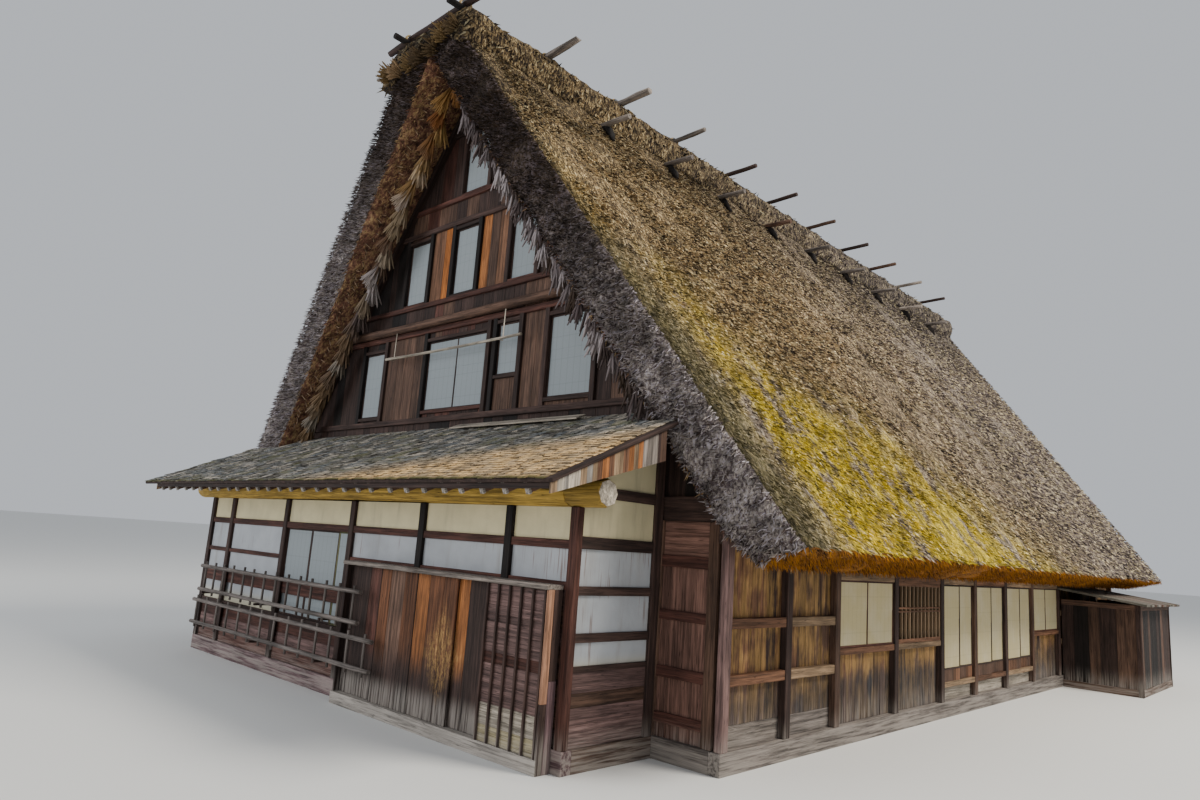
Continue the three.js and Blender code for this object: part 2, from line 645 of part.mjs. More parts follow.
function gableFrame(windows, face, back, bottom) {
  const outer = prism('y', gableOutline(bottom, RUN), face, back);
  const inner = prism('y', gableOutline(bottom - RUN, RUN + GABLE_RAKE), face - RUN, back + RUN);
  const ring = cut(toSolid(outer), [inner]);
  const bars = [[bottom, WALL_TOP + GABLE_FOOT], ...GABLE_RAILS].map(([low, high]) => block(
    -insideThatch(high) + 2 * RUN, insideThatch(high) - 2 * RUN, face, back, low, high));
  const posts = windows.flatMap(({ storey, left, right }) => {
    const { low, high } = STOREYS[storey - 1];
    return [[left - WINDOW_POST, left], [right, right + WINDOW_POST]].map(([x0, x1]) => block(x0, x1, face,
      back, low, high));
  });
  const { past, high: trim } = WINDOW_TRIM;
  const trims = windows.flatMap(({ left, right, low, high }) => [
    block(left - past, right + past, face, back, low - trim, low),
    block(left - past, right + past, face, back, high, high + trim),
  ]);
  const whole = join([...bars, ...posts, ...trims]).add(ring);
  const within = toSolid(prism('y', gableOutline(bottom, RUN), face - RUN, back + RUN));
  return whole.intersect(within);
}

function gableBoards(windows, face, back, bottom) {
  const sheet = toSolid(prism('y', gableOutline(bottom, RUN), face, back));
  return cut(sheet, windows.map(({ left, right, low, high }) => block(left, right, face - POST_DEEP,
    back + POST_DEEP, low, high)));
}

function gablePaper(storey, y0, y1) {
  const { low, high } = STOREYS[storey - 1];
  const half = insideThatch(high) - GABLE_PAPER_INSET;
  return block(-half, half, y0, y1, low, high);
}

const FRONT_GABLE = { face: -POST_DEEP / 2, back: POST_DEEP / 2 };
const REAR_GABLE = { face: LENGTH - POST_DEEP / 2, back: LENGTH + POST_DEEP / 2 };

// Loops that hold the pole: an upright behind it and a short foot under it
function poleHangers() {
  const under = POLE.z - POLE.radius * Math.cos(Math.PI / 8) - GAP;
  const { half, clear, thick, high, top } = HANGER;
  const behind = POLE.y + POLE.radius + clear;
  return HANGER.places.flatMap((x) => [
    block(x - half, x + half, behind, behind + thick, under - high, top),
    block(x - half, x + half, POLE.y - POLE.radius - clear, behind + thick, under - high, under),
  ]);
}

function frontGable() {
  const { face, back } = FRONT_GABLE;
  const { places, half, past } = GABLE_POSTS;
  const { left, right, leftZ, rightZ, radius, sides } = GABLE_BEAM;
  const frame = gableFrame(GABLE_WINDOWS, face, back, WALL_TOP + GAP);
  const posts = places.map((x) => block(x - half, x + half, face, back, SILL_TOP + GAP, WALL_TOP + past));
  const beam = rod([left, face - GABLE_BEAM.out, leftZ], [right, face - GABLE_BEAM.out, rightZ], radius, sides);
  const sheet = gableBoards(GABLE_WINDOWS, back - RUN, back + BOARD, WALL_TOP + GAP);
  return frame.add(join([...posts, beam, ...poleHangers()])).add(sheet);
}

function rearGable() {
  const { face, back } = REAR_GABLE;
  const sheet = face + REAR_BOARDS_INSET;
  const frame = gableFrame(REAR_GABLE_WINDOWS, face, back, WALL_TOP + GAP);
  return frame.add(gableBoards(REAR_GABLE_WINDOWS, sheet, sheet + BOARD, WALL_TOP + GAP));
}

// Rafters and purlins of one slope, crossing in one plane
function rafterGrid() {
  const top = (z) => insideThatch(z) - GAP;
  const low = WALL_TOP + GAP;
  const high = apexBelow(GAP);
  const band = (z0, z1, deep) => [[top(z0), z0], [top(z1), z1], [top(z1) - deep / Math.sin(PITCH), z1],
    [top(z0) - deep / Math.sin(PITCH), z0]];
  const apex = apexBelow(RAFTER_DEEP / Math.sin(PITCH) + GAP);
  const outline = [[top(low), low], [GAP, high - OVERLAP], [GAP, apex], [insideRafters(low), low]];
  const first = POST_DEEP / 2 + BOARD + PAPER_DOOR.thick + BEAM_CLEAR;
  const step = (LENGTH - 2 * first - RAFTER_WIDE) / (RAFTERS - 1);
  const parts = [];
  for (let i = 0; i < RAFTERS; i += 1) {
    const y = first + i * step;
    parts.push(prism('y', outline, y, y + RAFTER_WIDE));
  }
  for (const z of PURLIN_LEVELS) {
    parts.push(prism('y', band(z, z + PURLIN.high, PURLIN.deep), first, LENGTH - first));
  }
  return join(parts);
}

// Attic floors: boards on cross beams
function atticFloor(top, beamDeep, onPlates) {
  const under = top - FLOOR_BOARD;
  const front = FRONT_GABLE.back + BOARD + PAPER_DOOR.thick + 2 * RUN;
  const back = LENGTH - front;
  const slope = (z) => insideRafters(z) - GAP;
  const deck = [[-slope(under), under], [slope(under), under], [slope(top), top], [-slope(top), top]];
  const low = under - beamDeep;
  const reach = (z) => (onPlates ? insideThatch(z) - BEAM_CLEAR : slope(z));
  const width = Math.min(reach(low), HALF_WIDTH);
  const high = under + RUN;
  const beam = [[-width, low], [width, low], [reach(high), high], [-reach(high), high]];
  const parts = [prism('y', deck, front, back)];
  const count = RAFTERS - 1;
  const step = (LENGTH - 2 * front) / count;
  for (let i = 0; i < count; i += 1) {
    const y = front + (i + 0.5) * step;
    parts.push(prism('y', beam, y - RAFTER_WIDE / 2, y + RAFTER_WIDE / 2));
  }
  return join(parts);
}

// Thatch slope: the cross section, cut to leaning verges with rounded lower corners
function thatchSlope(side) {
  const section = [[EAVE_IN_X, EAVE_IN_Z], [EAVE_X, EAVE_Z], [outsideThatch(THATCH_TOP), THATCH_TOP],
    [GAP, THATCH_TOP], [GAP, apexBelow(GAP)]];
  const reach = VERGE_RIDGE + RUN;
  const slab = prism('y', side > 0 ? section : mirror(section), -reach, LENGTH + reach);
  const lean = (VERGE_RIDGE - VERGE_FOOT) / (THATCH_TOP - EAVE_IN_Z);
  const corner = [];
  for (let i = 0; i <= CORNER_TURNS; i += 1) {
    const angle = (i / CORNER_TURNS) * (Math.PI / 2);
    corner.push([CORNER_ROUND * (1 - Math.cos(angle)), CORNER_ROUND * (1 - Math.sin(angle))]);
  }
  const verge = [
    [-VERGE_RIDGE, THATCH_TOP + RUN],
    ...corner.map(([along, up]) => [-VERGE_FOOT - lean * up + along, EAVE_IN_Z + up]),
  ];
  const rear = verge.map(([y, z]) => [LENGTH - y, z]).reverse();
  const outline = [...verge, ...rear];
  const far = EAVE_X + RUN;
  const mask = prism('x', outline, side > 0 ? 0 : -far, side > 0 ? far : 0);
  const holes = needlePlaces().map((y) => rod([side * NEEDLE_START, y, NEEDLE_Z], [side * far, y, NEEDLE_Z],
    RIDGE_POLE_RADIUS + GAP));
  return cut(toSolid(slab).intersect(toSolid(mask)), holes);
}

function needlePlaces() {
  return Array.from({ length: NEEDLES }, (_, i) => NEEDLE_FIRST + i * NEEDLE_STEP);
}

// Ridge beam under the apex, with the needles that pass out through the thatch
function ridgeNeedles() {
  const top = NEEDLE_Z - RIDGE_POLE_RADIUS / 2;
  const half = insideRafters(top) - 2 * RUN;
  const front = FRONT_GABLE.back + BOARD + PAPER_DOOR.thick + 2 * RUN;
  const beam = block(-half, half, front, LENGTH - front, top - RIDGE_BEAM_DEEP, top);
  const rods = needlePlaces().map((y) => rod([-NEEDLE_REACH, y, NEEDLE_Z], [NEEDLE_REACH, y, NEEDLE_Z],
    RIDGE_POLE_RADIUS));
  return join([beam, ...rods]);
}

// Ridge cap that sits on both slopes: it meets the right one flush and overhangs the left one
function ridgeCap() {
  const lift = 1;
  const foot = [outsideThatch(CAP_FOOT) + lift, CAP_FOOT];
  const shoulder = [outsideThatch(THATCH_TOP) + lift, THATCH_TOP + GAP];
  const right = [shoulder, foot, ...CAP_RIGHT];
  const left = [shoulder, foot, ...CAP_LEFT];
  const end = VERGE_RIDGE + CAP_OVERHANG;
  return prism('y', [...right, ...mirror(left)], -end, LENGTH + end);
}

// Two long poles on the ridge cap and the cross poles over them
function ridgePoles() {
  const radius = RIDGE_POLE_RADIUS;
  const bed = CAP_TOP + GAP + radius * Math.cos(Math.PI / 8);
  const over = bed + CROSS_LIFT;
  const { x: side, past } = LONG_POLE;
  const long = (x) => rod([x, -VERGE_RIDGE - past, bed], [x, LENGTH + VERGE_RIDGE, bed], radius);
  const cross = (left, right, y) => rod([left, y, over], [right, y, over], radius);
  const parts = [long(-side), long(side)];
  for (let i = 0; i < CROSS_POLES; i += 1) {
    parts.push(cross(-CROSS_HALF, CROSS_HALF, CROSS_FIRST + i * CROSS_STEP));
  }
  parts.push(cross(FRONT_CROSS.left, FRONT_CROSS.right, -VERGE_RIDGE + FRONT_CROSS.behind));
  return join(parts);
}

// Annex: three board walls and a shallow roof
function annexTop(x) {
  return ANNEX_ROOF_HIGH - (x - HALF_WIDTH) * ANNEX_ROOF_SLOPE;
}

function annexWalls() {
  const x0 = HALF_WIDTH + GAP;
  const wall = ANNEX_WALL;
  const inside = ANNEX_SIDE - wall;
  const under = (x) => [[x, 0], [ANNEX_SIDE, 0], [ANNEX_SIDE, annexTop(ANNEX_SIDE)], [x, annexTop(x)]];
  const end = (y) => prism('y', under(x0), y, y + wall);
  const side = prism('y', under(inside), ANNEX_FRONT + wall - OVERLAP, ANNEX_BACK - wall + OVERLAP);
  return join([end(ANNEX_FRONT), end(ANNEX_BACK - wall), side]);
}

function annexRoof() {
  const { side, front, back, thick } = ANNEX_ROOF;
  const x0 = HALF_WIDTH + GAP;
  const x1 = ANNEX_SIDE + side;
  const low = (x) => annexTop(x) + GAP;
  return prism('y', [[x0, low(x0)], [x1, low(x1)], [x1, low(x1) + thick], [x0, low(x0) + thick]],
    ANNEX_FRONT - front, ANNEX_BACK + back);
}

piece('ground_sill', groundSill(), TIMBER);
piece('ground_floor', groundDeck(), WEATHERED);
piece('right_wall', rightFrame().add(rightBoards()), BOARDS);
for (const { name, bay, low, high } of RIGHT_WINDOWS) {
  const lattice = name === 'right_lattice';
  const face = HALF_WIDTH - WINDOW_SHEET.inset;
  const sheet = framedWindow(bay, low, high, face - WINDOW_SHEET.thick, face);
  const shape = lattice ? latticeWindow(bay, low, high) : sheet;
  piece(name, shape, lattice ? TIMBER : PAPER);
}
DOOR_BAYS.forEach((bay, i) => {
  piece(`paper_door_${i + 1}_outer`, paperDoor(bay, true), PAPER);
  piece(`paper_door_${i + 1}_inner`, paperDoor(bay, false), PAPER);
});
piece('left_wall', leftWall(), BOARDS);
piece('left_paper', leftPaper(), PAPER);
piece('rear_wall', rearWall(), BOARDS);
piece('rear_paper', rearPaper(), PAPER);
const frontInner = HALF_WIDTH - POST_DEEP - BOARD - 2 * GAP;
piece('front_wall_right', frontWall(PORCH_RIGHT - POST_WIDE, frontInner), BOARDS);
piece('front_wall_left', frontWall(-HALF_WIDTH + POST_DEEP + BOARD + 2 * GAP, PORCH_LEFT + POST_WIDE), BOARDS);
piece('porch_front', porchFrame().add(porchPanels()), PAPER);
piece('porch_wall_right', porchSide(PORCH_RIGHT - PORCH_POST, PORCH_RIGHT), BOARDS);
piece('porch_wall_left', porchSide(PORCH_LEFT, PORCH_LEFT + PORCH_POST), BOARDS);
piece('porch_window', porchPaper(), PAPER);
piece('porch_log', porchLog(), LOG);
piece('pent_roof', pentDeck(), SHINGLE);
piece('pent_rafters', pentRafters(), TIMBER);
piece('pent_fascia', pentFascia(), WEATHERED);
piece('pent_barge_right', pentBarge(BARGE_RIGHT, BARGE_RIGHT - BARGE_THICK), WEATHERED);
piece('pent_barge_left', pentBarge(BARGE_LEFT, BARGE_LEFT + BARGE_THICK), WEATHERED);
piece('rear_pent_roof', rearPent(), SHINGLE);
piece('door_frame', doorFrame(), TIMBER);
piece('shutter_box', shutterBox(), BOARDS);
for (let i = 0; i < 4; i += 1) piece(`door_leaf_${i + 1}`, doorLeaf(i), WEATHERED);
for (const place of LADDERS) piece(place.name, ladder(place), WEATHERED);
piece('front_gable', frontGable(), BOARDS);
piece('rear_gable', rearGable(), BOARDS);
for (const storey of [1, 2, 3]) {
  const front = FRONT_GABLE.back + BOARD + GAP;
  piece(`front_gable_paper_${storey}`, gablePaper(storey, front, front + PAPER_DOOR.thick), PAPER);
  const rear = REAR_GABLE.face - GAP;
  piece(`rear_gable_paper_${storey}`, gablePaper(storey, rear - PAPER_DOOR.thick, rear), PAPER);
}
piece('hanging_pole', rod([POLE.left, POLE.y, POLE.z], [POLE.right, POLE.y, POLE.z], POLE.radius), WEATHERED);
const grid = rafterGrid();
piece('rafters_right', grid, TIMBER);
piece('rafters_left', grid.mirror([1, 0, 0]), TIMBER);
piece('attic_floor_1', atticFloor(FLOOR_1, FLOOR_1 - FLOOR_BOARD - WALL_TOP - GAP, true), WEATHERED);
piece('attic_floor_2', atticFloor(FLOOR_2, JOIST, false), WEATHERED);
piece('attic_floor_3', atticFloor(FLOOR_3, JOIST, false), WEATHERED);
piece('thatch_right', thatchSlope(1), THATCH, 1);
piece('thatch_left', thatchSlope(-1), THATCH, 1);
piece('ridge_cap', ridgeCap(), THATCH, 1);
piece('ridge_needles', ridgeNeedles(), TIMBER);
piece('ridge_poles', ridgePoles(), TIMBER);
piece('annex_walls', annexWalls(), BOARDS);
piece('annex_roof', annexRoof(), SHINGLE);

export default house;
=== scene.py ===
# Thatched farmhouse: the straw, boards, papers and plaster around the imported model.
# Metres, +Z up, +X to the right seen from the front, +Y to the back.
import itertools
import math

import bpy
import numpy as np
from mathutils import Matrix, Vector


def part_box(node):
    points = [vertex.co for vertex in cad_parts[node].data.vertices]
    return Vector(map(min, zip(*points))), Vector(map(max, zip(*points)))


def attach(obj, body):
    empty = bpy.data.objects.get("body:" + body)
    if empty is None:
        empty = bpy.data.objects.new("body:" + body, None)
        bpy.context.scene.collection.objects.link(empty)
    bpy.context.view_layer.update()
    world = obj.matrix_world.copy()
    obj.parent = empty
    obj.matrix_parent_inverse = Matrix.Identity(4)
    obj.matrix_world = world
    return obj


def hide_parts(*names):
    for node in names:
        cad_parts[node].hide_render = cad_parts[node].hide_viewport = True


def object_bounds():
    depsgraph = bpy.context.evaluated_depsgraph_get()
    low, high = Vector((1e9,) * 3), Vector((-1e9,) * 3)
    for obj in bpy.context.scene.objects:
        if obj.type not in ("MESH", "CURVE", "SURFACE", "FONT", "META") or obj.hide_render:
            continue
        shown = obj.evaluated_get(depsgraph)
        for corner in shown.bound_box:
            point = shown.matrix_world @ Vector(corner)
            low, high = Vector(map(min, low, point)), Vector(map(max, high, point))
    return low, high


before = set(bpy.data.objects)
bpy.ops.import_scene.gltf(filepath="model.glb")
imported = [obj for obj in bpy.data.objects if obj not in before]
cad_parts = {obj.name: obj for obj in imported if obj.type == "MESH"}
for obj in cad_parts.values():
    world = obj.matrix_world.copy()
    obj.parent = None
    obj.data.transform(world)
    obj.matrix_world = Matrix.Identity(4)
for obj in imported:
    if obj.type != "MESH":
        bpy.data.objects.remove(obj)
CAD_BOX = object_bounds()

HOUSE = "house"
X, Y, Z = (1, 0, 0), (0, 1, 0), (0, 0, 1)

# The photograph's camera
CAMERA_PLACE = (11.316, -8.045, 2.414)
CAMERA_RIGHT = (0.72870, 0.68122, 0.07021)
CAMERA_UP = (0.07172, -0.17787, 0.98144)
CAMERA_AHEAD = (-0.68107, 0.71014, 0.17847)
CAMERA_LENS = 24.27

# The model's driving sizes
HALF_WIDTH = 5.9
LENGTH = 18.9
WALL_TOP = 2.8
SILL_TOP = 0.25
PLATE = (2.55, WALL_TOP)
POST_WIDE = 0.14
HALF_POST = POST_WIDE / 2
POST_DEEP = 0.1
BAYS = (0, 1.357, 2.658, 4.577, 6.443, 8.061, 9.799, 11.573, 13.606, 15.37, 17.13, LENGTH)
REAR_POSTS = (-5.7, -3.64, -1.82, 0, 1.82, 3.64, 5.7)
HEAD = (2.2, 2.32)
DOOR_SILL = (0.48, 0.57)
WINDOW_SILL = (1.18, 1.27)
RAIL_HIGH = (1.59, 1.71)
RAIL_LOW = (0.95, 1.07)

# Main roof. An eave's two edges are places across and up, from which the thatch rises at the pitch
EAVE_OUT = (7.05, 2.56)
EAVE_IN = (6.285, 2.33)
PITCH = math.radians(53)
THATCH_TOP = 10.9
APEX_IN = 10.67
VERGE_FOOT = 0.35
VERGE_LEAN = 0.8 / (THATCH_TOP - EAVE_IN[1])
CORNER_ROUND = 0.45
CAP_TOP = 11.12
CAP_ENDS = (-1.25, 20.15)
LONG_POLES = (-0.8, 0.8)
FRONT_POLE = -1.05
CROSS_POLES = [0.83 + 1.92 * i for i in range(10)]
NEEDLES = [1.95 + 1.93 * i for i in range(9)]

# Porch and pent roof. The eave and the log's axis are places back and up
PORCH_FACE = -1.58
PORCH_POSTS = {"A": -5.135, "B": -4.22, "C": -2.06, "D": 0.09, "E": 1.91, "F": 3.73, "G": 4.85}
PORCH_POST = 0.13
PORCH_TOP = 2.84
DOOR_HEAD = 1.93
PENT_EAVE = (-2.6, 3.05)
PENT_SLOPE = 0.45
PENT_SIDES = (-6.05, 5.5)
PENT_NECK = -0.61
NECK_SIDES = (-4.85, 4.85)
NECK_SHINGLES = (-4.82, 4.82)
PENT_BACK = -0.1
PENT_THICK = 0.06
COURSE = 0.085
SHINGLE_WIDE = 0.13
RAFTER_FIRST = -5.29
RAFTER_STEP = 0.37
RAFTER_COUNT = 29
LOG_AXIS = (-1.53, 3.0)
LOG_ENDS = (-5.75, 5.3)

# Gables: rails, and windows as storey, left, right, bottom and top
GABLE_RAILS = ((4.33, 4.43), (5.96, 6.06), (6.48, 6.57), (7.90, 8.00), (8.37, 8.46), (9.68, 9.77))
FRONT_WINDOWS = (
    (0, -2.80, -2.12, 4.52, 5.78), (0, -0.73, 0.95, 4.55, 5.80), (0, 1.21, 1.75, 5.01, 5.87),
    (0, 2.45, 3.40, 4.55, 5.83), (1, -1.65, -1.00, 6.60, 7.80), (1, -0.22, 0.43, 6.60, 7.82),
    (1, 1.35, 1.98, 6.60, 7.80), (2, -0.15, 0.54, 8.49, 9.65),
)
REAR_WINDOWS = (
    (0, -2.80, -2.12, 4.55, 5.80), (0, -0.84, 0.84, 4.55, 5.80), (0, 2.12, 2.80, 4.55, 5.80),
    (1, -1.65, -1.00, 6.60, 7.80), (1, 1.00, 1.65, 6.60, 7.80), (2, -0.345, 0.345, 8.49, 9.65),
)

# Small sizes: worn edges of thin frames, rails and posts, and the stiles of paper windows
THIN, RAIL, POST = {"chamfer": 0.003}, {"chamfer": 0.006}, {"chamfer": 0.008}
STILE = 0.028

# Colours, as RRGGBB
COLOURS = {
    "black": "1b1513", "dark": "3b2c27", "brown": "584236", "red": "51332b", "purple": "66504c",
    "umber": "6c4c38", "rust": "8a5730", "orange": "a9652f", "gold": "a3804e", "grey": "857b73",
    "pale": "b0a595", "pink": "735a5c", "tan": "8c745a", "log": "b08f42", "ladder": "6a625d",
    "stone": "938c84", "green": "6c6b48", "shingle": "726d63", "shingle_tan": "b8996c",
    "shingle_blue": "686b6c", "shingle_dark": "3f3a34", "rope": "b49a6a", "straw_black": "1d1712",
    "straw_dark": "3f3226", "straw_purple": "63585c", "straw_mid": "866f4c", "straw_tan": "b89c6e",
    "straw_pale": "ecdcb2", "straw_orange": "8a5820", "straw_gold": "a06a10", "straw_red": "80594a",
    "straw_grey": "9a9188", "straw_lilac": "b5adb5", "blue_black": "34363a", "moss_dark": "4c4a26",
    "sunned": "a8844f", "front_brown": "6d5046", "olive": "9a8e6c", "door_brown": "603d28",
    "jamb": "966e56", "moss": "e0c42c", "moss_green": "a28e2c", "plaster": "cec39e",
    "plaster_cool": "a5a8ac", "paper_cool": "888f92", "paper_warm": "b8ab80", "stain": "857d70",
    "white": "d8d4c8",
}


def linear(name):
    """A named colour as the shaders' red, green, blue and one"""
    channels = [int(COLOURS[name][i:i + 2], 16) / 255 for i in (0, 2, 4)]
    return [*(c / 12.92 if c <= 0.04045 else ((c + 0.055) / 1.055) ** 2.4 for c in channels), 1.0]


# Places that follow from the driving sizes
def thatch_x(eave, z):
    """How far out the thatch's line through its outer or inner eave is at a height"""
    return eave[0] - (z - eave[1]) / math.tan(PITCH)


def height_inside(x):
    """The height at which the thatch's underside passes over a place"""
    return EAVE_IN[1] + (EAVE_IN[0] - abs(x)) * math.tan(PITCH)


def pent_top(y):
    return PENT_EAVE[1] + (y - PENT_EAVE[0]) * PENT_SLOPE


def verge_y(z):
    """The front verge's place at a height, with its rounded foot"""
    up = np.clip(np.asarray(z, float) - EAVE_IN[1], 0, None)
    sunk = np.clip(1 - up / CORNER_ROUND, 0, 1)
    return -VERGE_FOOT - VERGE_LEAN * up + CORNER_ROUND * (1 - np.sqrt(1 - sunk ** 2))


def lumps(points, size, seed):
    """Repeatable smooth noise from -1 to 1, with lumps of a given size along each axis"""
    place = np.asarray(points, float) / np.asarray(size, float)
    cell = np.floor(place).astype(np.int64)
    share = place - cell
    share = share * share * (3 - 2 * share)
    mask = 0xFFFFFFFF
    total = np.zeros(len(place))
    for corner in itertools.product((0, 1), repeat=3):
        mixed = ((cell + corner) @ (374761393, 668265263, 2147483647) + seed * 1274126177) & mask
        mixed = ((mixed ^ (mixed >> 13)) * 1274126177) & mask
        weight = np.prod(np.where(corner, share, 1 - share), axis=1)
        total += weight * ((mixed ^ (mixed >> 16)) / mask)
    return 2 * total - 1


# Node trees
class Value:
    """An output of a node. Sums, products and ranges of values are nodes too"""

    def __init__(self, tree, socket):
        self.tree = tree
        self.socket = socket

    def __add__(self, other):
        return self.tree.math("ADD", self, other)

    def __sub__(self, other):
        return self.tree.math("SUBTRACT", self, other)

    def __mul__(self, other):
        return self.tree.math("MULTIPLY", self, other)

    def __abs__(self):
        return self.tree.math("ABSOLUTE", self)

    def levels(self, low, high, to_low=0.0, to_high=1.0):
        """The range from low to high, spread smoothly over another range"""
        inputs = enumerate((self, low, high, to_low, to_high))
        return self.tree.node("ShaderNodeMapRange", *inputs, interpolation_type="SMOOTHSTEP")


class Nodes:
    """A node tree, in which one call makes a node with its inputs and settings"""

    def __init__(self, tree):
        self.nodes = tree.nodes
        self.links = tree.links

    def node(self, kind, *inputs, out=0, **settings):
        made = self.nodes.new(kind)
        for key, value in settings.items():
            setattr(made, key, value)
        for index, value in inputs:
            if isinstance(value, Value):
                self.links.new(value.socket, made.inputs[index])
            else:
                made.inputs[index].default_value = value
        return Value(self, made.outputs[out])

    def math(self, operation, first, second=0.0):
        return self.node("ShaderNodeMath", (0, first), (1, second), operation=operation)

    def vectors(self, operation, first, second):
        index = "Scale" if operation == "SCALE" else 1
        return self.node("ShaderNodeVectorMath", (0, first), (index, second), operation=operation)

    def axes(self, vector):
        return [self.node("ShaderNodeSeparateXYZ", (0, vector), out=i) for i in range(3)]


# Finishes
class Finish(Nodes):
    """The node material of one finish. It reads the place in the house and what a piece's points hold"""

    def __init__(self, name, roughness):
        self.material = bpy.data.materials.new(name)
        self.material.use_nodes = True
        super().__init__(self.material.node_tree)
        self.shader = self.nodes["Principled BSDF"].inputs
        self.shader["Roughness"].default_value = roughness
        self.shader["Specular IOR Level"].default_value = 0.25
        self.place = self.node("ShaderNodeTexCoord", out="Object")
        self.x, self.y, self.z = self.axes(self.place)
        self.tone = self.attribute("tone", "Fac")
        self.tint = self.attribute("tint", "Color")

    def attribute(self, name, output="Vector"):
        return self.node("ShaderNodeAttribute", attribute_name=name, out=output)

    def noise(self, vector, scale, detail=3.0, rough=0.55):
        """Noise over a vector, with one scale or one for each axis"""
        if isinstance(scale, tuple):
            vector, scale = self.vectors("MULTIPLY", vector, scale), 1.0
        inputs = (("Vector", vector), ("Scale", scale), ("Detail", detail), ("Roughness", rough))
        return self.node("ShaderNodeTexNoise", *inputs, out="Fac")

    def mix(self, share, *colours, blend="MIX"):
        """Two colours, as values or as names, mixed by a share"""
        first, second = (linear(c) if isinstance(c, str) else c for c in colours)
        inputs = ((0, share), (6, first), (7, second))
        return self.node("ShaderNodeMix", *inputs, out=2, data_type="RGBA", blend_type=blend)

    def ramp(self, value, stops):
        """Colours at places along a value, as in 0 black, 1 pale"""
        made = self.node("ShaderNodeValToRGB", (0, value))
        elements = made.socket.node.color_ramp.elements
        stops = [stop.split() for stop in stops.split(",")]
        while len(elements) < len(stops):
            elements.new(0.5)
        for element, (position, colour) in zip(elements, stops):
            element.position = float(position)
            element.color = linear(colour)
        return made

    def dim(self, colour, *amounts):
        """A colour made lighter or darker by amounts around one"""
        for amount in amounts:
            grey = self.node("ShaderNodeCombineColor", (0, amount), (1, amount), (2, amount))
            colour = self.mix(1.0, colour, grey, blend="MULTIPLY")
        return colour

    def finished(self, colour, height=None, depth=0.01):
        self.links.new(colour.socket, self.shader["Base Color"])
        if height:
            bump = self.node("ShaderNodeBump", ("Height", height), ("Strength", 1.0), ("Distance", depth))
            self.links.new(bump.socket, self.shader["Normal"])
        return self.material


def wood_finish(name, grain=None, tint=None, worn_heights=(0.55, 0.1), bare_from=0.36):
    """Old planed wood: each board has its own grain and colour, worn to grey near the ground"""
    f = Finish(name, 0.78)
    grain = grain(f) if grain else f.attribute("grain")
    streak = f.noise(grain, (1.1, 26, 26), 4.0, 0.65)
    fibre = f.noise(grain, (7, 170, 170), 2.0)
    patch = f.noise(grain, (1.6, 4.5, 4.5), 2.0)
    crack = abs(f.noise(grain, (0.9, 38, 38), 1.0) - 0.5).levels(0.004, 0.02)
    colour = f.dim(tint(f) if tint else f.tint, streak.levels(0.3, 0.72, 0.5, 1.45),
                   f.tone.levels(0.0, 1.0, 0.82, 1.16), patch.levels(0.3, 0.7, 0.75, 1.2),
                   fibre.levels(0.3, 0.7, 0.8, 1.15), crack.levels(0.0, 1.0, 0.45, 1.0))
    bare = f.z.levels(*worn_heights) * streak.levels(bare_from, bare_from + 0.26)
    height = streak * 0.5 + (fibre * 0.25 + crack * 0.4)
    return f.finished(f.mix(bare * 0.7, colour, "stone"), height, 0.006)


def door_tint(f):
    """The sliding doors' colour: dark below, and a streaky golden patch where the leaves meet"""
    uneven = f.z + f.noise(f.place, (4, 4, 1)) * 0.8
    near = (abs(f.x - 2.84) * 1.5 + abs(f.z - 0.98)).levels(0.75, 0.25)
    golden_streaks = f.noise(f.place, (26, 26, 9), 4.0, 0.8).levels(0.4, 0.62, 0.0, 0.85)
    return f.mix(near * golden_streaks, f.mix(uneven.levels(1.5, 1.0), f.tint, "dark"), "gold")


def streaked_tint(f):
    """The right wall's colour: dark with golden wear in streaks, and blue-black near the ground"""
    streak = f.noise(f.place, (1, 10, 1.3), 4.0, 0.7)
    blot = f.noise(f.place, (1.2, 1.8, 2.28))
    sunned = (streak * 0.6 + blot * 0.4).levels(0.42, 0.57)
    wet = (f.z + blot * 0.5).levels(1.4, 0.95)
    return f.mix(wet * 0.7, f.mix(sunned * 0.75, f.tint, "sunned"), "blue_black")


def plain_wood_finish(name, colour):
    """The same wood on a piece of the model, its grain read from the place in the house"""
    tint = lambda f: f.ramp(f.noise(f.place, 0.7), f"0.3 {colour}, 0.75 dark")
    return wood_finish(name, lambda f: f.place, tint)


def plaster_finish():
    """Clay plaster, warm above and cooler below, with faint streaks and stains. The warm colour above is
    partly the plaster's own and partly painted warm bounce light, and the top of the porch's right side wall
    is darkened as painted shade
    """
    f = Finish("clay_plaster", 0.92)
    # Warm above 2.46 m: the plaster's colour with painted warm bounce light in it
    cool = f.z.levels(2.46, 2.4) * f.z.levels(1.0, 1.25, 0.4, 1.0)
    streak = f.noise(f.place, (5, 5, 0.7), 4.0, 0.6).levels(0.52, 0.85, 0.0, 0.5)
    colour = f.mix(streak, f.mix(cool, "plaster", "plaster_cool"), "stain")
    drip = f.noise(f.place, (34, 34, 1.2), 1.0) * f.noise(f.place, 0.9)
    colour = f.mix(cool * drip.levels(0.33, 0.42, 0.0, 0.6), colour, "umber")
    blot = f.noise(f.place, 1.9).levels(0.25, 0.75, 0.86, 1.05)
    # Painted shade under the eave at the top of the porch's right side wall
    under_eave = f.x.levels(4.7, 4.8) * f.z.levels(2.4, 2.46)
    colour = f.dim(colour, blot, under_eave.levels(0.0, 1.0, 1.0, 0.87))
    speck = f.noise(f.place, 55.0, 2.0)
    colour = f.mix(speck.levels(0.7, 0.78, 0.0, 0.55), colour, "stain")
    return f.finished(colour, f.noise(f.place, 9.0, 4.0) + speck * 0.2, 0.006)


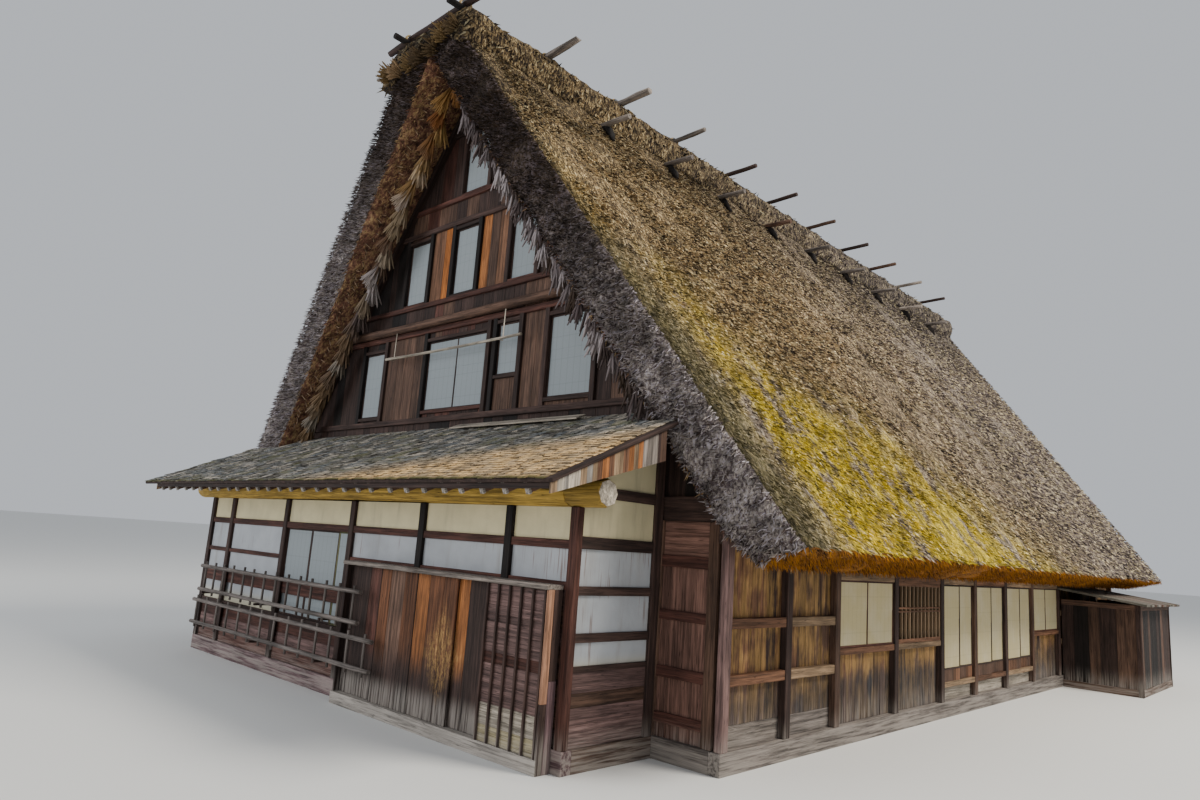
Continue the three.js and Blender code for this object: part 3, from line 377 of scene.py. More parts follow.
def paper_finish():
    """Window paper, with the bars behind it showing through as faint painted shade"""
    f = Finish("window_paper", 0.85)
    pane = f.attribute("grain")
    up, across, _ = f.axes(pane)
    fibre = f.noise(pane, (90, 90, 30))
    warm = f.mix(f.noise(f.place, 2.3).levels(0.35, 0.75, 0.0, 0.2), "paper_warm", "white")
    colour = f.mix(f.x.levels(5.2, 5.6), "paper_cool", warm)
    # Faint darker lines where bars stand behind the paper: painted shade
    bar = abs(f.math("FRACT", across * 7.5) - 0.5).levels(0.0, 0.1, 0.88, 1.0)
    cross = abs(f.math("FRACT", up * 2.6) - 0.5).levels(0.0, 0.035, 0.9, 1.0)
    f.shader["Sheen Weight"].default_value = 0.15
    return f.finished(f.dim(colour, fibre.levels(0.3, 0.7, 0.95, 1.03), bar * cross), fibre, 0.001)


def shingle_finish():
    """Split wooden shingles: golden on the right in front of a slanting line as painted sunlight, and grey
    behind it as painted shadow
    """
    f = Finish("split_shingle", 0.88)
    own = f.node("ShaderNodeCombineXYZ", (0, f.tone), (1, f.tone))
    streak = f.noise(f.vectors("ADD", f.attribute("grain"), own), (3, 45, 45), 4.0, 0.6)
    # The golden share is painted sunlight; the slanting line is the edge of a painted shadow
    golden = (f.x - f.y * 3.0 + f.noise(f.place, 2.0) * 1.2).levels(7.7, 10.0)
    colour = f.ramp(f.tone, "0 shingle_dark, 0.25 shingle, 0.6 shingle_blue, 1 pale")
    colour = f.mix(golden * f.tone.levels(0.1, 0.8, 0.4, 1.0), colour, "shingle_tan")
    # Each course is darker towards its upper end, as painted shade under the next course's edge, and lighter
    # below it
    shown = f.math("FRACT", (f.y - (PENT_EAVE[0] + 0.015)) * (1 / COURSE))
    colour = f.dim(colour, streak.levels(0.3, 0.7, 0.38, 1.5), shown.levels(0.5, 1.0, 1.25, 0.3))
    # Moss is umber and sparser in the painted sunlight, green and thicker in the painted shadow
    moss = f.noise(f.place, 2.4, 4.0, 0.7).levels(0.5, 0.66) * golden.levels(0.0, 1.0, 0.6, 0.25)
    colour = f.mix(moss, colour, f.mix(golden * 0.6, "green", "umber"))
    lip = f.y.levels(PENT_EAVE[0] + 0.07, PENT_EAVE[0] + 0.03, 0.0, 0.75)
    colour = f.mix(lip * f.noise(f.place, 6.0).levels(0.35, 0.5), colour, "moss_dark")
    return f.finished(colour, streak, 0.008)


def slope_colour(f, tone):
    """Weathered straw from dark gaps to pale stubs, greyer to the back, with moss. The dark gaps, the
    darkening between clumps and the dark line along the verge's edge are painted shade
    """
    from_verge = f.y + f.z * VERGE_LEAN + (VERGE_FOOT - VERGE_LEAN * EAVE_IN[1])
    damp = (f.z + f.y * 0.37 + f.noise(f.place, 0.7, 3.0, 0.6) * 3.2).levels(8.7, 6.6)
    streak = f.noise(f.place, (0.91, 2.86, 0.91), 4.0, 0.6)
    dab = f.noise(f.place, 4.0, 3.0, 0.6)
    grown = damp * from_verge.levels(0.35, 1.5, 0.12, 1.0) * (streak * 0.7 + dab * 0.3).levels(0.4, 0.5)
    along_verge = from_verge.levels(0.9, 0.1) * f.z.levels(9.4, 6.0) * 0.2
    tan = f.ramp(tone, "0 straw_black, 0.3 straw_dark, 0.52 straw_mid, 0.76 straw_tan, 0.97 straw_pale")
    grey = f.ramp(tone, "0 straw_black, 0.26 straw_purple, 0.66 straw_grey, 1 straw_pale")
    lilac = f.ramp(tone, "0 straw_dark, 0.5 straw_grey, 1 straw_lilac")
    moss = f.ramp(tone, "0 moss_dark, 0.3 moss_green, 0.8 moss, 1 straw_pale")
    colour = f.mix(f.y.levels(1.0, 16.0, 0.0, 0.8), tan, grey)
    colour = f.mix(f.math("MAXIMUM", grown, along_verge), f.mix(damp * 0.55, colour, lilac), moss)
    edge = from_verge - f.noise(f.place, 1.7) * 0.5
    colour = f.mix(f.z.levels(7.5, 5.0) * edge.levels(0.7, 0.1) * 0.55, colour, "moss_dark")
    # Painted shade: darker between clumps, and a dark shadow line along the verge's edge
    clump = f.noise(f.place, (4.2, 6.3, 4.2), 3.0, 0.6)
    return f.dim(colour, clump.levels(0.36, 0.6, 0.6, 1.25), edge.levels(-0.25, 0.05, 0.5, 1.0),
                 f.noise(f.place, 0.45).levels(0.3, 0.7, 0.85, 1.12), f.z.levels(7.5, 11.0, 1.0, 0.5))


def slope_finish(name, straw):
    """The outside of the thatch, or the straws that stand on it"""
    f = Finish(name, 0.95)
    if straw:
        return f.finished(slope_colour(f, f.tone))
    grain = f.attribute("grain")
    stub = f.noise(grain, (9, 22, 9), 4.0, 0.75)
    fine = f.noise(grain, (25, 60, 25), 3.0, 0.7)
    tone = (stub * 0.6 + fine * 0.4).levels(0.38, 0.64)
    return f.finished(slope_colour(f, tone), stub + fine * 0.5, 0.05)


def cut_finish(name, stops, high_stops=None, straw=True, scale=24.0, own_shade=False):
    """Straw seen end on, on loose straws or on the thatch itself, in other colours high up. Loose pieces take
    their own tint; the rest is darkened between clumps as painted shade
    """
    f = Finish(name, 0.95)
    speck = f.noise(f.place, (scale, scale, scale * 0.6), 4.0, 0.75)
    lump = f.noise(f.place, 3.0)
    tone = f.tone if straw else (speck * 0.7 + lump * 0.3).levels(0.33, 0.66)
    colour = f.ramp(tone, stops)
    if high_stops:
        # High up the colours change, 2.5 m higher on the left side. On the verge the darker high colours are
        # painted shade, and the left verge keeps its lighter colours higher up as painted light
        high = f.z + (lump * 3.0 + f.x.levels(-0.6, 0.6, -2.5, 0.0))
        colour = f.mix(high.levels(5.5, 9.5), colour, f.ramp(tone, high_stops))
    if own_shade:
        colour = f.mix(0.8, colour, f.tint, blend="MULTIPLY")
    else:
        # Painted shade between clumps
        colour = f.dim(colour, f.noise(f.place, 7.0, 2.0).levels(0.34, 0.6, 0.6, 1.15))
    return f.finished(colour, None if straw else speck, 0.05)


# The verge's second, darker colours are painted shade over its upper part
VERGE = ("0 straw_dark, 0.28 straw_purple, 0.62 straw_grey, 1 straw_lilac",
         "0 straw_black, 0.5 straw_dark, 1 straw_purple")
SOFFIT = "0 straw_dark, 0.5 straw_red, 1 straw_tan"
EAVE = "0 straw_black, 0.35 straw_orange, 1 straw_gold"
BUNDLE = ("0 straw_purple, 0.4 tan, 0.8 straw_grey, 1 straw_lilac", "0 rust, 0.5 gold, 1 straw_tan")
TUFT = "0 straw_dark, 0.5 straw_purple, 1 straw_lilac"
ROLL = "0 straw_dark, 0.6 straw_mid, 1 tan"

FINISHES = {
    "wood": wood_finish("aged_wood"),
    "door_wood": wood_finish("door_wood", tint=door_tint, worn_heights=(0.56, 0.3), bare_from=0.32),
    "streaked": wood_finish("streaked_wood", tint=streaked_tint, worn_heights=(0.7, 0.1)),
    "plaster": plaster_finish(),
    "paper": paper_finish(),
    "shingle": shingle_finish(),
    "slope": slope_finish("thatch_slope", False),
    "slope_straw": slope_finish("slope_straw", True),
    "verge": cut_finish("thatch_verge", *VERGE, straw=False),
    "verge_straw": cut_finish("verge_straw", *VERGE),
    "soffit": cut_finish("thatch_underside", SOFFIT, straw=False, scale=14.0),
    "soffit_straw": cut_finish("underside_straw", SOFFIT),
    "eave": cut_finish("thatch_eave", EAVE, straw=False),
    "eave_straw": cut_finish("eave_straw", EAVE),
    "bundle": cut_finish("straw_bundle", *BUNDLE, own_shade=True),
    "tuft": cut_finish("straw_tuft", TUFT, own_shade=True),
    "roll": cut_finish("straw_roll", ROLL, own_shade=True),
}


# Meshes
def put(name, data):
    made = bpy.data.objects.new(name, data)
    bpy.context.scene.collection.objects.link(made)
    return made


def shaped(name, points, faces):
    made = bpy.data.meshes.new(name)
    made.from_pydata(points, [], faces)
    return made


def kept_inside(points):
    return np.clip(points, *np.array(CAD_BOX))


def tagged(mesh, name, kind, values):
    """A value kept at each corner point of a mesh"""
    layer = mesh.attributes.new(name, kind, "POINT")
    field = {"FLOAT": "value", "FLOAT_VECTOR": "vector", "FLOAT_COLOR": "color"}[kind]
    layer.data.foreach_set(field, np.ascontiguousarray(values, np.float32).ravel())


def dressed(made, slot, *nodes, body=HOUSE):
    """A finished piece that rides on a body and may stand for nodes of the model"""
    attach(made, body)
    if nodes:
        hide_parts(*nodes)
    return made


def bent(start, end, count, bow=(0, 0, 0)):
    """A gently bowed path between two points"""
    start, end, bow = (np.asarray(v, float) for v in (start, end, bow))
    share = np.linspace(0, 1, count)[:, None]
    return start + (end - start) * share + bow * 4 * share * (1 - share)


def reach_along(path):
    return np.concatenate([[0], np.cumsum(np.linalg.norm(np.diff(path, axis=0), axis=1))])


class Wall:
    """An upright plane: u runs along it, d stands out from its face, and z is up"""

    def __init__(self, axis, face, outward):
        self.axis = axis
        self.face = face
        self.outward = outward
        self.along = np.eye(3)[axis]
        self.out = np.eye(3)[1 - axis] * outward

    def at(self, u, d, z):
        point = np.array([0.0, 0.0, z])
        point[self.axis] = u
        point[1 - self.axis] = self.face + self.outward * d
        return point


class Work:
    """Boards, beams, poles and plates that become one mesh, each with its own grain and colour"""

    def __init__(self, name, seed, wall=None):
        self.name = name
        self.seed = seed
        self.wall = wall
        self.chance = np.random.default_rng(seed)
        self.points, self.grain, self.tint, self.tone = [], [], [], []
        self.faces, self.finish, self.smooth, self.finishes = [], [], [], []
        self.count = 0

    def colour(self, tint):
        """One of the named colours by chance, or a list's next one, a little lighter or darker"""
        if isinstance(tint, list):
            name = tint.pop(0)
            tint.append(name)
        else:
            names = tint.split()
            name = names[self.chance.integers(len(names))] if len(names) > 1 else tint
        change = np.clip(1 + 0.14 * self.chance.standard_normal(), 0.6, 1.4)
        return [*(np.array(linear(name)[:3]) * change), 1.0]

    def loft(self, rings, grain, tint, finish="wood", smooth=False):
        """A closed body through rings of points that run anticlockwise about the way ahead"""
        stations, around = rings.shape[:2]
        total = stations * around
        index = self.count + np.arange(total).reshape(stations, around)
        after = np.roll(index, -1, axis=1)
        sides = np.stack([index[:-1], after[:-1], after[1:], index[1:]], axis=-1).reshape(-1, 4).tolist()
        self.faces += [*sides, index[0][::-1].tolist(), index[-1].tolist()]
        if finish not in self.finishes:
            self.finishes.append(finish)
        self.finish += [self.finishes.index(finish)] * (len(sides) + 2)
        self.smooth += [smooth] * len(sides) + [False, False]
        self.points.append(rings.reshape(-1, 3))
        shift = self.chance.uniform(0, 40, 3) if finish != "paper" else 0
        self.grain.append(grain.reshape(-1, 3) + shift)
        self.tint.append(np.tile(self.colour(tint), (total, 1)))
        self.tone.append(np.full(total, self.chance.uniform()))
        self.count += total

    def member(self, start, end, wide, deep, side, tint, finish="wood", chamfer=0.004, sway=0.0, rings=0):
        """A board or beam from start to end. wide runs along side, and deep across it"""
        start, end, side = (np.asarray(v, float) for v in (start, end, side))
        length = np.linalg.norm(end - start)
        ahead = (end - start) / length
        side = side - ahead * (side @ ahead)
        side /= np.linalg.norm(side)
        a, b = wide / 2, deep / 2
        c = min(chamfer, a / 2, b / 2, length / 4)
        section = np.array([(a, c - b), (a, b - c), (a - c, b), (c - a, b), (-a, b - c), (-a, c - b),
                            (c - a, -b), (a - c, -b)])
        along = np.concatenate([[0, c], c + (length - 2 * c) * np.arange(1, rings + 1) / (rings + 1),
                                [length - c, length]])
        shrink = np.ones((len(along), 1, 2))
        shrink[[0, -1]] = [1 - c / a, 1 - c / b]
        across = section[None] * shrink
        if sway:
            across = across + self.chance.normal(0, sway, (len(along), 1, 2)) * [[[1, 0.4]]]
        steps = np.broadcast_to(along[:, None, None], (len(along), len(section), 1))
        points = start + ahead * steps + across[..., :1] * side + across[..., 1:] * np.cross(ahead, side)
        self.loft(points, np.concatenate([steps, across], axis=-1), tint, finish)

    def pole(self, path, radii, tint, sides=8, knobs=0.0, finish="wood"):
        """A round pole along a path, a little uneven, with its own radius at each point"""
        path = np.asarray(path, float)
        radii = np.broadcast_to(np.asarray(radii, float), len(path))
        ahead = np.gradient(path, axis=0)
        ahead /= np.linalg.norm(ahead, axis=1, keepdims=True)
        side = np.cross(np.eye(3)[np.abs(ahead).max(axis=0).argmin()], ahead)
        side /= np.linalg.norm(side, axis=1, keepdims=True)
        turn = 2 * math.pi * np.arange(sides) / sides
        reach = radii[:, None] * (1 + knobs * self.chance.standard_normal((len(path), sides)))
        across, up = reach * np.cos(turn), reach * np.sin(turn)
        points = (path[:, None] + across[..., None] * side[:, None]
                  + up[..., None] * np.cross(ahead, side)[:, None])
        step = np.repeat(reach_along(path), sides).reshape(-1, sides)
        self.loft(points, np.stack([step, across, up], axis=-1), tint, finish, smooth=True)

    def plate(self, outline, ahead, tint, finish):
        """A flat outline of points given thickness by a vector"""
        outline, ahead = np.asarray(outline, float), np.asarray(ahead, float)
        normal = sum(np.cross(a - outline[0], b - outline[0]) for a, b in zip(outline[1:], outline[2:]))
        if normal @ ahead < 0:
            outline = outline[::-1]
        rings = np.stack([outline, outline + ahead])
        self.loft(rings, rings[..., [2, 0, 1]] if finish == "wood" else rings, tint, finish)

    def upright(self, u, wide, d0, d1, z0, z1, tint, **how):
        middle = (d0 + d1) / 2
        self.member(self.wall.at(u, middle, z0), self.wall.at(u, middle, z1), wide, abs(d1 - d0),
                    self.wall.along, tint, **how)

    def level(self, u0, u1, d0, d1, z0, z1, tint, **how):
        middle, height = (d0 + d1) / 2, (z0 + z1) / 2
        self.member(self.wall.at(u0, middle, height), self.wall.at(u1, middle, height), z1 - z0,
                    abs(d1 - d0), Z, tint, **how)

    def levels(self, u0, u1, d0, d1, heights, tint, **how):
        for z0, z1 in heights:
            self.level(u0, u1, d0, d1, z0, z1, tint, **how)

    def widths(self, low, high, board):
        """Uneven board edges from low to high"""
        count = max(1, round((high - low) / board))
        edges = np.linspace(low, high, count + 1)
        edges[1:-1] += self.chance.uniform(-0.22, 0.22, count - 1) * (high - low) / count
        return itertools.pairwise(edges)

    def upright_boards(self, u0, u1, d0, d1, z0, z1, tints, board=0.2, top=None, finish="wood"):
        """Boards side by side. tints may be a way to choose a colour for a place"""
        for left, right in self.widths(u0, u1, board):
            middle = (left + right) / 2
            high = min(z1, top(middle)) if top else z1
            if high > z0 + 0.05:
                warp = self.chance.uniform(0, 0.006)
                tint = tints(middle, z0) if callable(tints) else tints
                self.upright(middle, right - left, d0, d1 - warp, z0, high, tint, finish=finish, **RAIL)

    def level_boards(self, u0, u1, d0, d1, z0, z1, tints, board=0.2):
        for low, high in self.widths(z0, z1, board):
            warp = self.chance.uniform(0, 0.006)
            self.level(u0, u1, d0, d1 - warp, low, high, tints, **RAIL)

    def panel(self, u0, u1, d0, d1, z0, z1, finish):
        """A flat panel of plaster or paper; its grain runs up and across from its lower corner"""
        self.upright((u0 + u1) / 2, u1 - u0, d0, d1, z0, z1, "white", finish=finish, **THIN)

    def window(self, u0, u1, d, z0, z1, stiles=0, tint="dark"):
        """A paper window: two overlapping sheets of paper on a thin wooden frame"""
        inset = 0.004
        seam = z0 + (z1 - z0) * self.chance.uniform(0.4, 0.6)
        self.panel(u0 + inset, u1 - inset, d - 0.012, d, z0 + inset, seam + 0.012, "paper")
        self.panel(u0 + inset, u1 - inset, d - 0.010, d + 0.003, seam, z1 - inset, "paper")
        edges = np.linspace(u0, u1, stiles + 2)
        for u in (edges[0] + STILE / 2, *edges[1:-1], edges[-1] - STILE / 2):
            self.upright(u, STILE, d - 0.02, d + 0.01, z0, z1, tint, **THIN)
        self.levels(u0, u1, d - 0.02, d + 0.012, ((z0, z0 + STILE), (z1 - STILE, z1)), tint, **THIN)

    def mesh(self, placed=True):
        points = np.concatenate(self.points)
        mesh = shaped(self.name, kept_inside(points) if placed else points, self.faces)
        for finish in self.finishes:
            mesh.materials.append(FINISHES[finish])
        mesh.polygons.foreach_set("material_index", self.finish)
        mesh.polygons.foreach_set("use_smooth", self.smooth)
        tagged(mesh, "grain", "FLOAT_VECTOR", np.concatenate(self.grain))
        tagged(mesh, "tint", "FLOAT_COLOR", np.concatenate(self.tint))
        tagged(mesh, "tone", "FLOAT", np.concatenate(self.tone))
        mesh.update()
        return mesh

    def finish_as(self, slot, *nodes, body=HOUSE):
        return dressed(put(self.name, self.mesh()), slot, *nodes, body=body)


# Geometry Nodes
class Tree(Nodes):
    """A tree of geometry nodes with named inputs, which ends in realized instances and a finish"""

    def __init__(self, name, **inputs):
        self.group = bpy.data.node_groups.new(name, "GeometryNodeTree")
        super().__init__(self.group)
        add = self.group.interface.new_socket
        add("Geometry", in_out="OUTPUT", socket_type="NodeSocketGeometry")
        every = {"Geometry": "Geometry", **inputs, "Shape": "Object", "Seed": "Int", "Finish": "Material"}
        for label, kind in every.items():
            add(label, in_out="INPUT", socket_type="NodeSocket" + kind)
        self.start = self.nodes.new("NodeGroupInput")

    def given(self, label):
        return Value(self, self.start.outputs[label])

    def chance(self, low, high, salt, kind="FLOAT"):
        """A random number or vector for each point"""
        first = 2 if kind == "FLOAT" else 0
        inputs = ((first, low), (first + 1, high), ("Seed", self.given("Seed") + salt))
        return self.node("FunctionNodeRandomValue", *inputs, out=first // 2, data_type=kind)

    def either_way(self, label, salt):
        """A random vector between a given one and its opposite"""
        opposite = self.vectors("SCALE", self.given(label), -1.0)
        return self.chance(opposite, self.given(label), salt, "FLOAT_VECTOR")

    def end(self, points, salt, *inputs):
        """The given shape on each point, with a random tone, as one real mesh with the given finish"""
        toned = self.node("GeometryNodeStoreNamedAttribute", ("Geometry", points), ("Name", "tone"),
                          ("Value", self.chance(0.0, 1.0, salt)), data_type="FLOAT", domain="POINT")
        shape = self.node("GeometryNodeObjectInfo", ("Object", self.given("Shape")), out="Geometry")
        laid = self.node("GeometryNodeInstanceOnPoints", ("Points", toned), ("Instance", shape), *inputs)
        real = self.node("GeometryNodeRealizeInstances", (0, laid))
        done = self.node("GeometryNodeSetMaterial", (0, real), ("Material", self.given("Finish")))
        self.links.new(done.socket, self.nodes.new("NodeGroupOutput").inputs[0])
        return self

    def grow(self, name, base, **values):
        """A plain mesh object with what the tree makes of a base mesh and its inputs"""
        holder = put(name, base)
        modifier = holder.modifiers.new("nodes", "NODES")
        modifier.node_group = self.group
        for item in self.group.interface.items_tree:
            if item.in_out == "INPUT" and item.name in values:
                modifier[item.identifier] = values[item.name]
        graph = bpy.context.evaluated_depsgraph_get()
        mesh = bpy.data.meshes.new_from_object(holder.evaluated_get(graph), preserve_all_data_layers=True,
                                               depsgraph=graph)
        holder.modifiers.remove(modifier)
        holder.data = mesh
        points = np.empty(len(mesh.vertices) * 3, np.float32)
        mesh.vertices.foreach_get("co", points)
        points = kept_inside(points.reshape(-1, 3)).astype(np.float32)
        mesh.vertices.foreach_set("co", points.ravel())
        mesh.update()
        return holder


def straw_tree():
    """Straws scattered on a surface, each laid about one direction with some spread"""
    tree = Tree("straws_on_surface", Density="Float", Lay="Vector", Spread="Float", Shortest="Float",
                Longest="Float", Thickness="Float")
    points = tree.node("GeometryNodeDistributePointsOnFaces", ("Mesh", tree.given("Geometry")),
                       ("Density", tree.given("Density")), ("Seed", tree.given("Seed")), out="Points")
    swing = tree.chance((-1.0, -1.0, -1.0), (1.0, 1.0, 1.0), 23, "FLOAT_VECTOR")
    lay = tree.vectors("ADD", tree.given("Lay"), tree.vectors("SCALE", swing, tree.given("Spread")))
    turn = tree.node("FunctionNodeAlignRotationToVector", ("Vector", lay), axis="Z")
    thick = tree.given("Thickness")
    length = tree.chance(tree.given("Shortest"), tree.given("Longest"), 37)
    size = tree.node("ShaderNodeCombineXYZ", (0, thick), (1, thick), (2, length))
    return tree.end(points, 11, ("Rotation", turn), ("Scale", size))


def row_tree():
    """Like pieces in a straight row, each shifted and turned a little"""
    tree = Tree("pieces_in_a_row", Count="Int", First="Vector", Step="Vector", Shift="Vector", Turn="Vector")
    line = tree.node("GeometryNodeMeshLine", ("Count", tree.given("Count")),
                     ("Start Location", tree.given("First")), ("Offset", tree.given("Step")), mode="OFFSET")
    moved = tree.node("GeometryNodeSetPosition", ("Geometry", line), ("Offset", tree.either_way("Shift", 5)))
    return tree.end(moved, 7, ("Rotation", tree.either_way("Turn", 9)))


def straw_shape():
    """One straw of unit length and thickness: a thin three-sided splinter"""
    ring = [(math.cos(a) / 2, math.sin(a) / 2, 0.0) for a in (0, 2 * math.pi / 3, 4 * math.pi / 3)]
    return put("straw", shaped("straw", [*ring, Z], [(2, 1, 0), (0, 1, 3), (1, 2, 3), (2, 0, 3)]))


STRAWS = straw_tree()
ROW = row_tree()
STRAW = straw_shape()


def straws(name, base, finish, density, lay, spread, lengths, thickness, seed):
    made = STRAWS.grow(name, base, Density=density, Lay=lay, Spread=spread, Shortest=lengths[0],
                       Longest=lengths[1], Thickness=thickness, Shape=STRAW, Seed=seed,
                       Finish=FINISHES[finish])
    return dressed(made, "thatch")


def row(work, count, first, step, slot, shift=(0, 0, 0), turn=(0, 0, 0)):
    """A row of copies of one small piece of work"""
    shape = put(work.name + "_one", work.mesh(False))
    shape.data.attributes.remove(shape.data.attributes["tone"])
    made = ROW.grow(work.name, bpy.data.meshes.new(work.name), Count=count, First=tuple(first),
                    Step=tuple(step), Shift=shift, Turn=turn, Shape=shape, Seed=work.seed,
                    Finish=FINISHES[work.finishes[0]])
    bpy.data.objects.remove(shape)
    return dressed(made, slot)


# Thatch
SLOPE_CELLS = (80, 140, 6)
PATCH_CELLS = (40, 60)


def grid_quads(index):
    """The faces between the points of a grid"""
    return np.stack([index[:-1, :-1], index[1:, :-1], index[1:, 1:], index[:-1, 1:]], axis=-1).reshape(-1, 4)


def block_shell(cells):
    """The surface of a block of cells: its points' cell numbers, and its faces on each of six sides"""
    grid = np.indices([n + 1 for n in cells]).reshape(3, -1).T
    on_surface = ((grid == 0) | (grid == cells)).any(axis=1)
    index = np.full(len(grid), -1)
    index[on_surface] = np.arange(on_surface.sum())
    index = index.reshape([n + 1 for n in cells])
    faces = []
    for axis, end in itertools.product(range(3), (0, 1)):
        forward = (axis != 1) == bool(end)
        faces.append(grid_quads(np.take(index, -end, axis=axis))[:, ::1 if forward else -1])
    return grid[on_surface], faces


def thatch_point(side, share):
    """A point of one thatch slope: down the slope, back along the house and in through the straw"""
    down, back, deep = share.T
    z_out = THATCH_TOP + (EAVE_OUT[1] - THATCH_TOP) * down
    z_in = APEX_IN + (EAVE_IN[1] - APEX_IN) * down
    z = z_out + (z_in - z_out) * deep
    x_out, x_in = thatch_x(EAVE_OUT, z_out), thatch_x(EAVE_IN, z_in)
    front = verge_y(z)
    return np.stack([side * (x_out + (x_in - x_out) * deep), front + (LENGTH - 2 * front) * back, z], axis=1)


def thatch_slope(side, name, seed):
    """A coat of thatch with a lumpy surface: upper and lower end, front and rear verge, outside and inside"""
    cell, faces = block_shell(SLOPE_CELLS)
    share = cell / SLOPE_CELLS
    share[:, 1] *= 0.7 + 0.3 * share[:, 1]
    points = thatch_point(side, share)
    up = np.array([side * math.sin(PITCH), 0, math.cos(PITCH)])
    ways = (Z, (side * 0.29, 0, -0.957), (0, -1, 0), Y, up, -up)
    at_end = [cell[:, i // 2] == i % 2 * SLOPE_CELLS[i // 2] for i in range(6)]
    out = sum(on[:, None] * np.array(way) for on, way in zip(at_end[::-1], ways[::-1]))
    out /= np.linalg.norm(out, axis=1, keepdims=True)
    clump = lumps(points, (0.16, 0.16, 0.16), seed) * 0.6 + lumps(points, (0.5, 0.45, 0.5), seed + 1)
    sag = lumps(points, (2.6, 2.2, 2.6), seed + 2)
    depth = np.where(at_end[4], 0.034, 0.055)
    sunk = np.where(np.sum(at_end, axis=0) > 1, 0.05, 0.01)
    points = points + out * (clump * depth + sag * 0.03 - sunk)[:, None]
    quads = np.concatenate(faces)[:, ::-side]
    mesh = shaped("thatch_coat_" + name, kept_inside(points), quads.tolist())
    for label in ("slope", "eave", "verge", "soffit"):
        mesh.materials.append(FINISHES[label])
    mesh.polygons.foreach_set("material_index", np.repeat((0, 1, 2, 2, 0, 3), [len(f) for f in faces]))
    mesh.polygons.foreach_set("use_smooth", [True] * len(quads))
    run = share[:, 0] * (THATCH_TOP - EAVE_OUT[1]) / math.sin(PITCH)
    tagged(mesh, "grain", "FLOAT_VECTOR", np.stack([run, points[:, 1], share[:, 2]], axis=1))
    dressed(put(mesh.name, mesh), "thatch", "thatch_" + name)


def patch(side, *shares):
    """A sheet over part of a thatch slope, for straws to stand on: one of the three shares is constant"""
    cells = iter(PATCH_CELLS)
    lines = [np.array([low]) if low == high else low + (high - low) * np.linspace(0, 1, next(cells) + 1)
             for low, high in shares]
    share = np.stack(np.meshgrid(*lines, indexing="ij"), axis=-1).reshape(-1, 3)
    index = np.arange(len(share)).reshape([n + 1 for n in PATCH_CELLS])
    return shaped("patch", thatch_point(side, share), grid_quads(index).tolist())


def down_slope(side):
    """The way down a slope, a little lifted off it"""
    lift = 0.4
    return (side * (math.cos(PITCH) + lift * math.sin(PITCH)), 0.0,
            -math.sin(PITCH) + lift * math.cos(PITCH))


def thatch():
    """Both coats of thatch, and the straws that stand on their slopes, verges, eaves and undersides"""
    thatch_slope(1, "right", 3)
    thatch_slope(-1, "left", 8)
    whole, first, last = (0, 1), (0, 0), (1, 1)
    for name, back, density, lengths, thick, seed in (
            ("front", (0, 0.3), 490, (0.05, 0.1), 0.022, 21),
            ("middle", (0.3, 0.65), 270, (0.05, 0.1), 0.029, 22),
            ("back", (0.65, 1), 160, (0.06, 0.1), 0.036, 23)):
        straws("straw_right_" + name, patch(1, whole, back, first), "slope_straw", density, down_slope(1),
               0.35, lengths, thick, seed)
    straws("straw_left", patch(-1, whole, whole, first), "slope_straw", 58, down_slope(-1), 0.3,
           (0.06, 0.11), 0.045, 24)
    for side, name in ((1, "right"), (-1, "left")):
        for place, shares, finish, density, lay, spread, lengths, thick, seed in (
                ("verge_{}_front", (whole, first, whole), "verge", 1050, (0.15, -1.0, -0.45), 0.5,
                 (0.05, 0.13), 0.024, 31),
                ("verge_{}_rear", (whole, last, whole), "verge", 330, (0.15, 1.0, -0.45), 0.5,
                 (0.05, 0.13), 0.026, 32),
                ("eave_{}", (last, whole, whole), "eave", 650 if side > 0 else 250, (0.35, 0.0, -0.9), 0.4,
                 (0.04, 0.1), 0.018, 33),
                ("underside_{}", (whole, (0, 0.045), last), "soffit", 400, (0.2, -0.5, -0.6), 0.4,
                 (0.05, 0.12), 0.02, 34)):
            straws("straw_" + place.format(name), patch(side, *shares), finish + "_straw", density,
                   (side * lay[0], *lay[1:]), spread, lengths, thick, seed)


def tuft(name, seed, down, spread, lengths, count, finish):
    """Straws held together at one end, that fan out along the way down"""
    work = Work(name, seed)
    down = np.array(down) / np.linalg.norm(down)
    aside = np.cross(down, Y if abs(down[1]) < 0.5 else Z)
    aside /= np.linalg.norm(aside)
    front = np.cross(aside, down)
    for i in range(count):
        turn = 2 * math.pi * (i + work.chance.uniform(-0.3, 0.3)) / count * 5
        out = (aside * math.cos(turn) + front * math.sin(turn)) * spread * work.chance.uniform(0.3, 1)
        reach = down * work.chance.uniform(*lengths)
        path = [out * 0.15, out * 0.5 + reach * 0.5, out + reach]
        work.pole(path, (0.014, 0.02, 0.01), "white", 3, 0, finish)
    return work


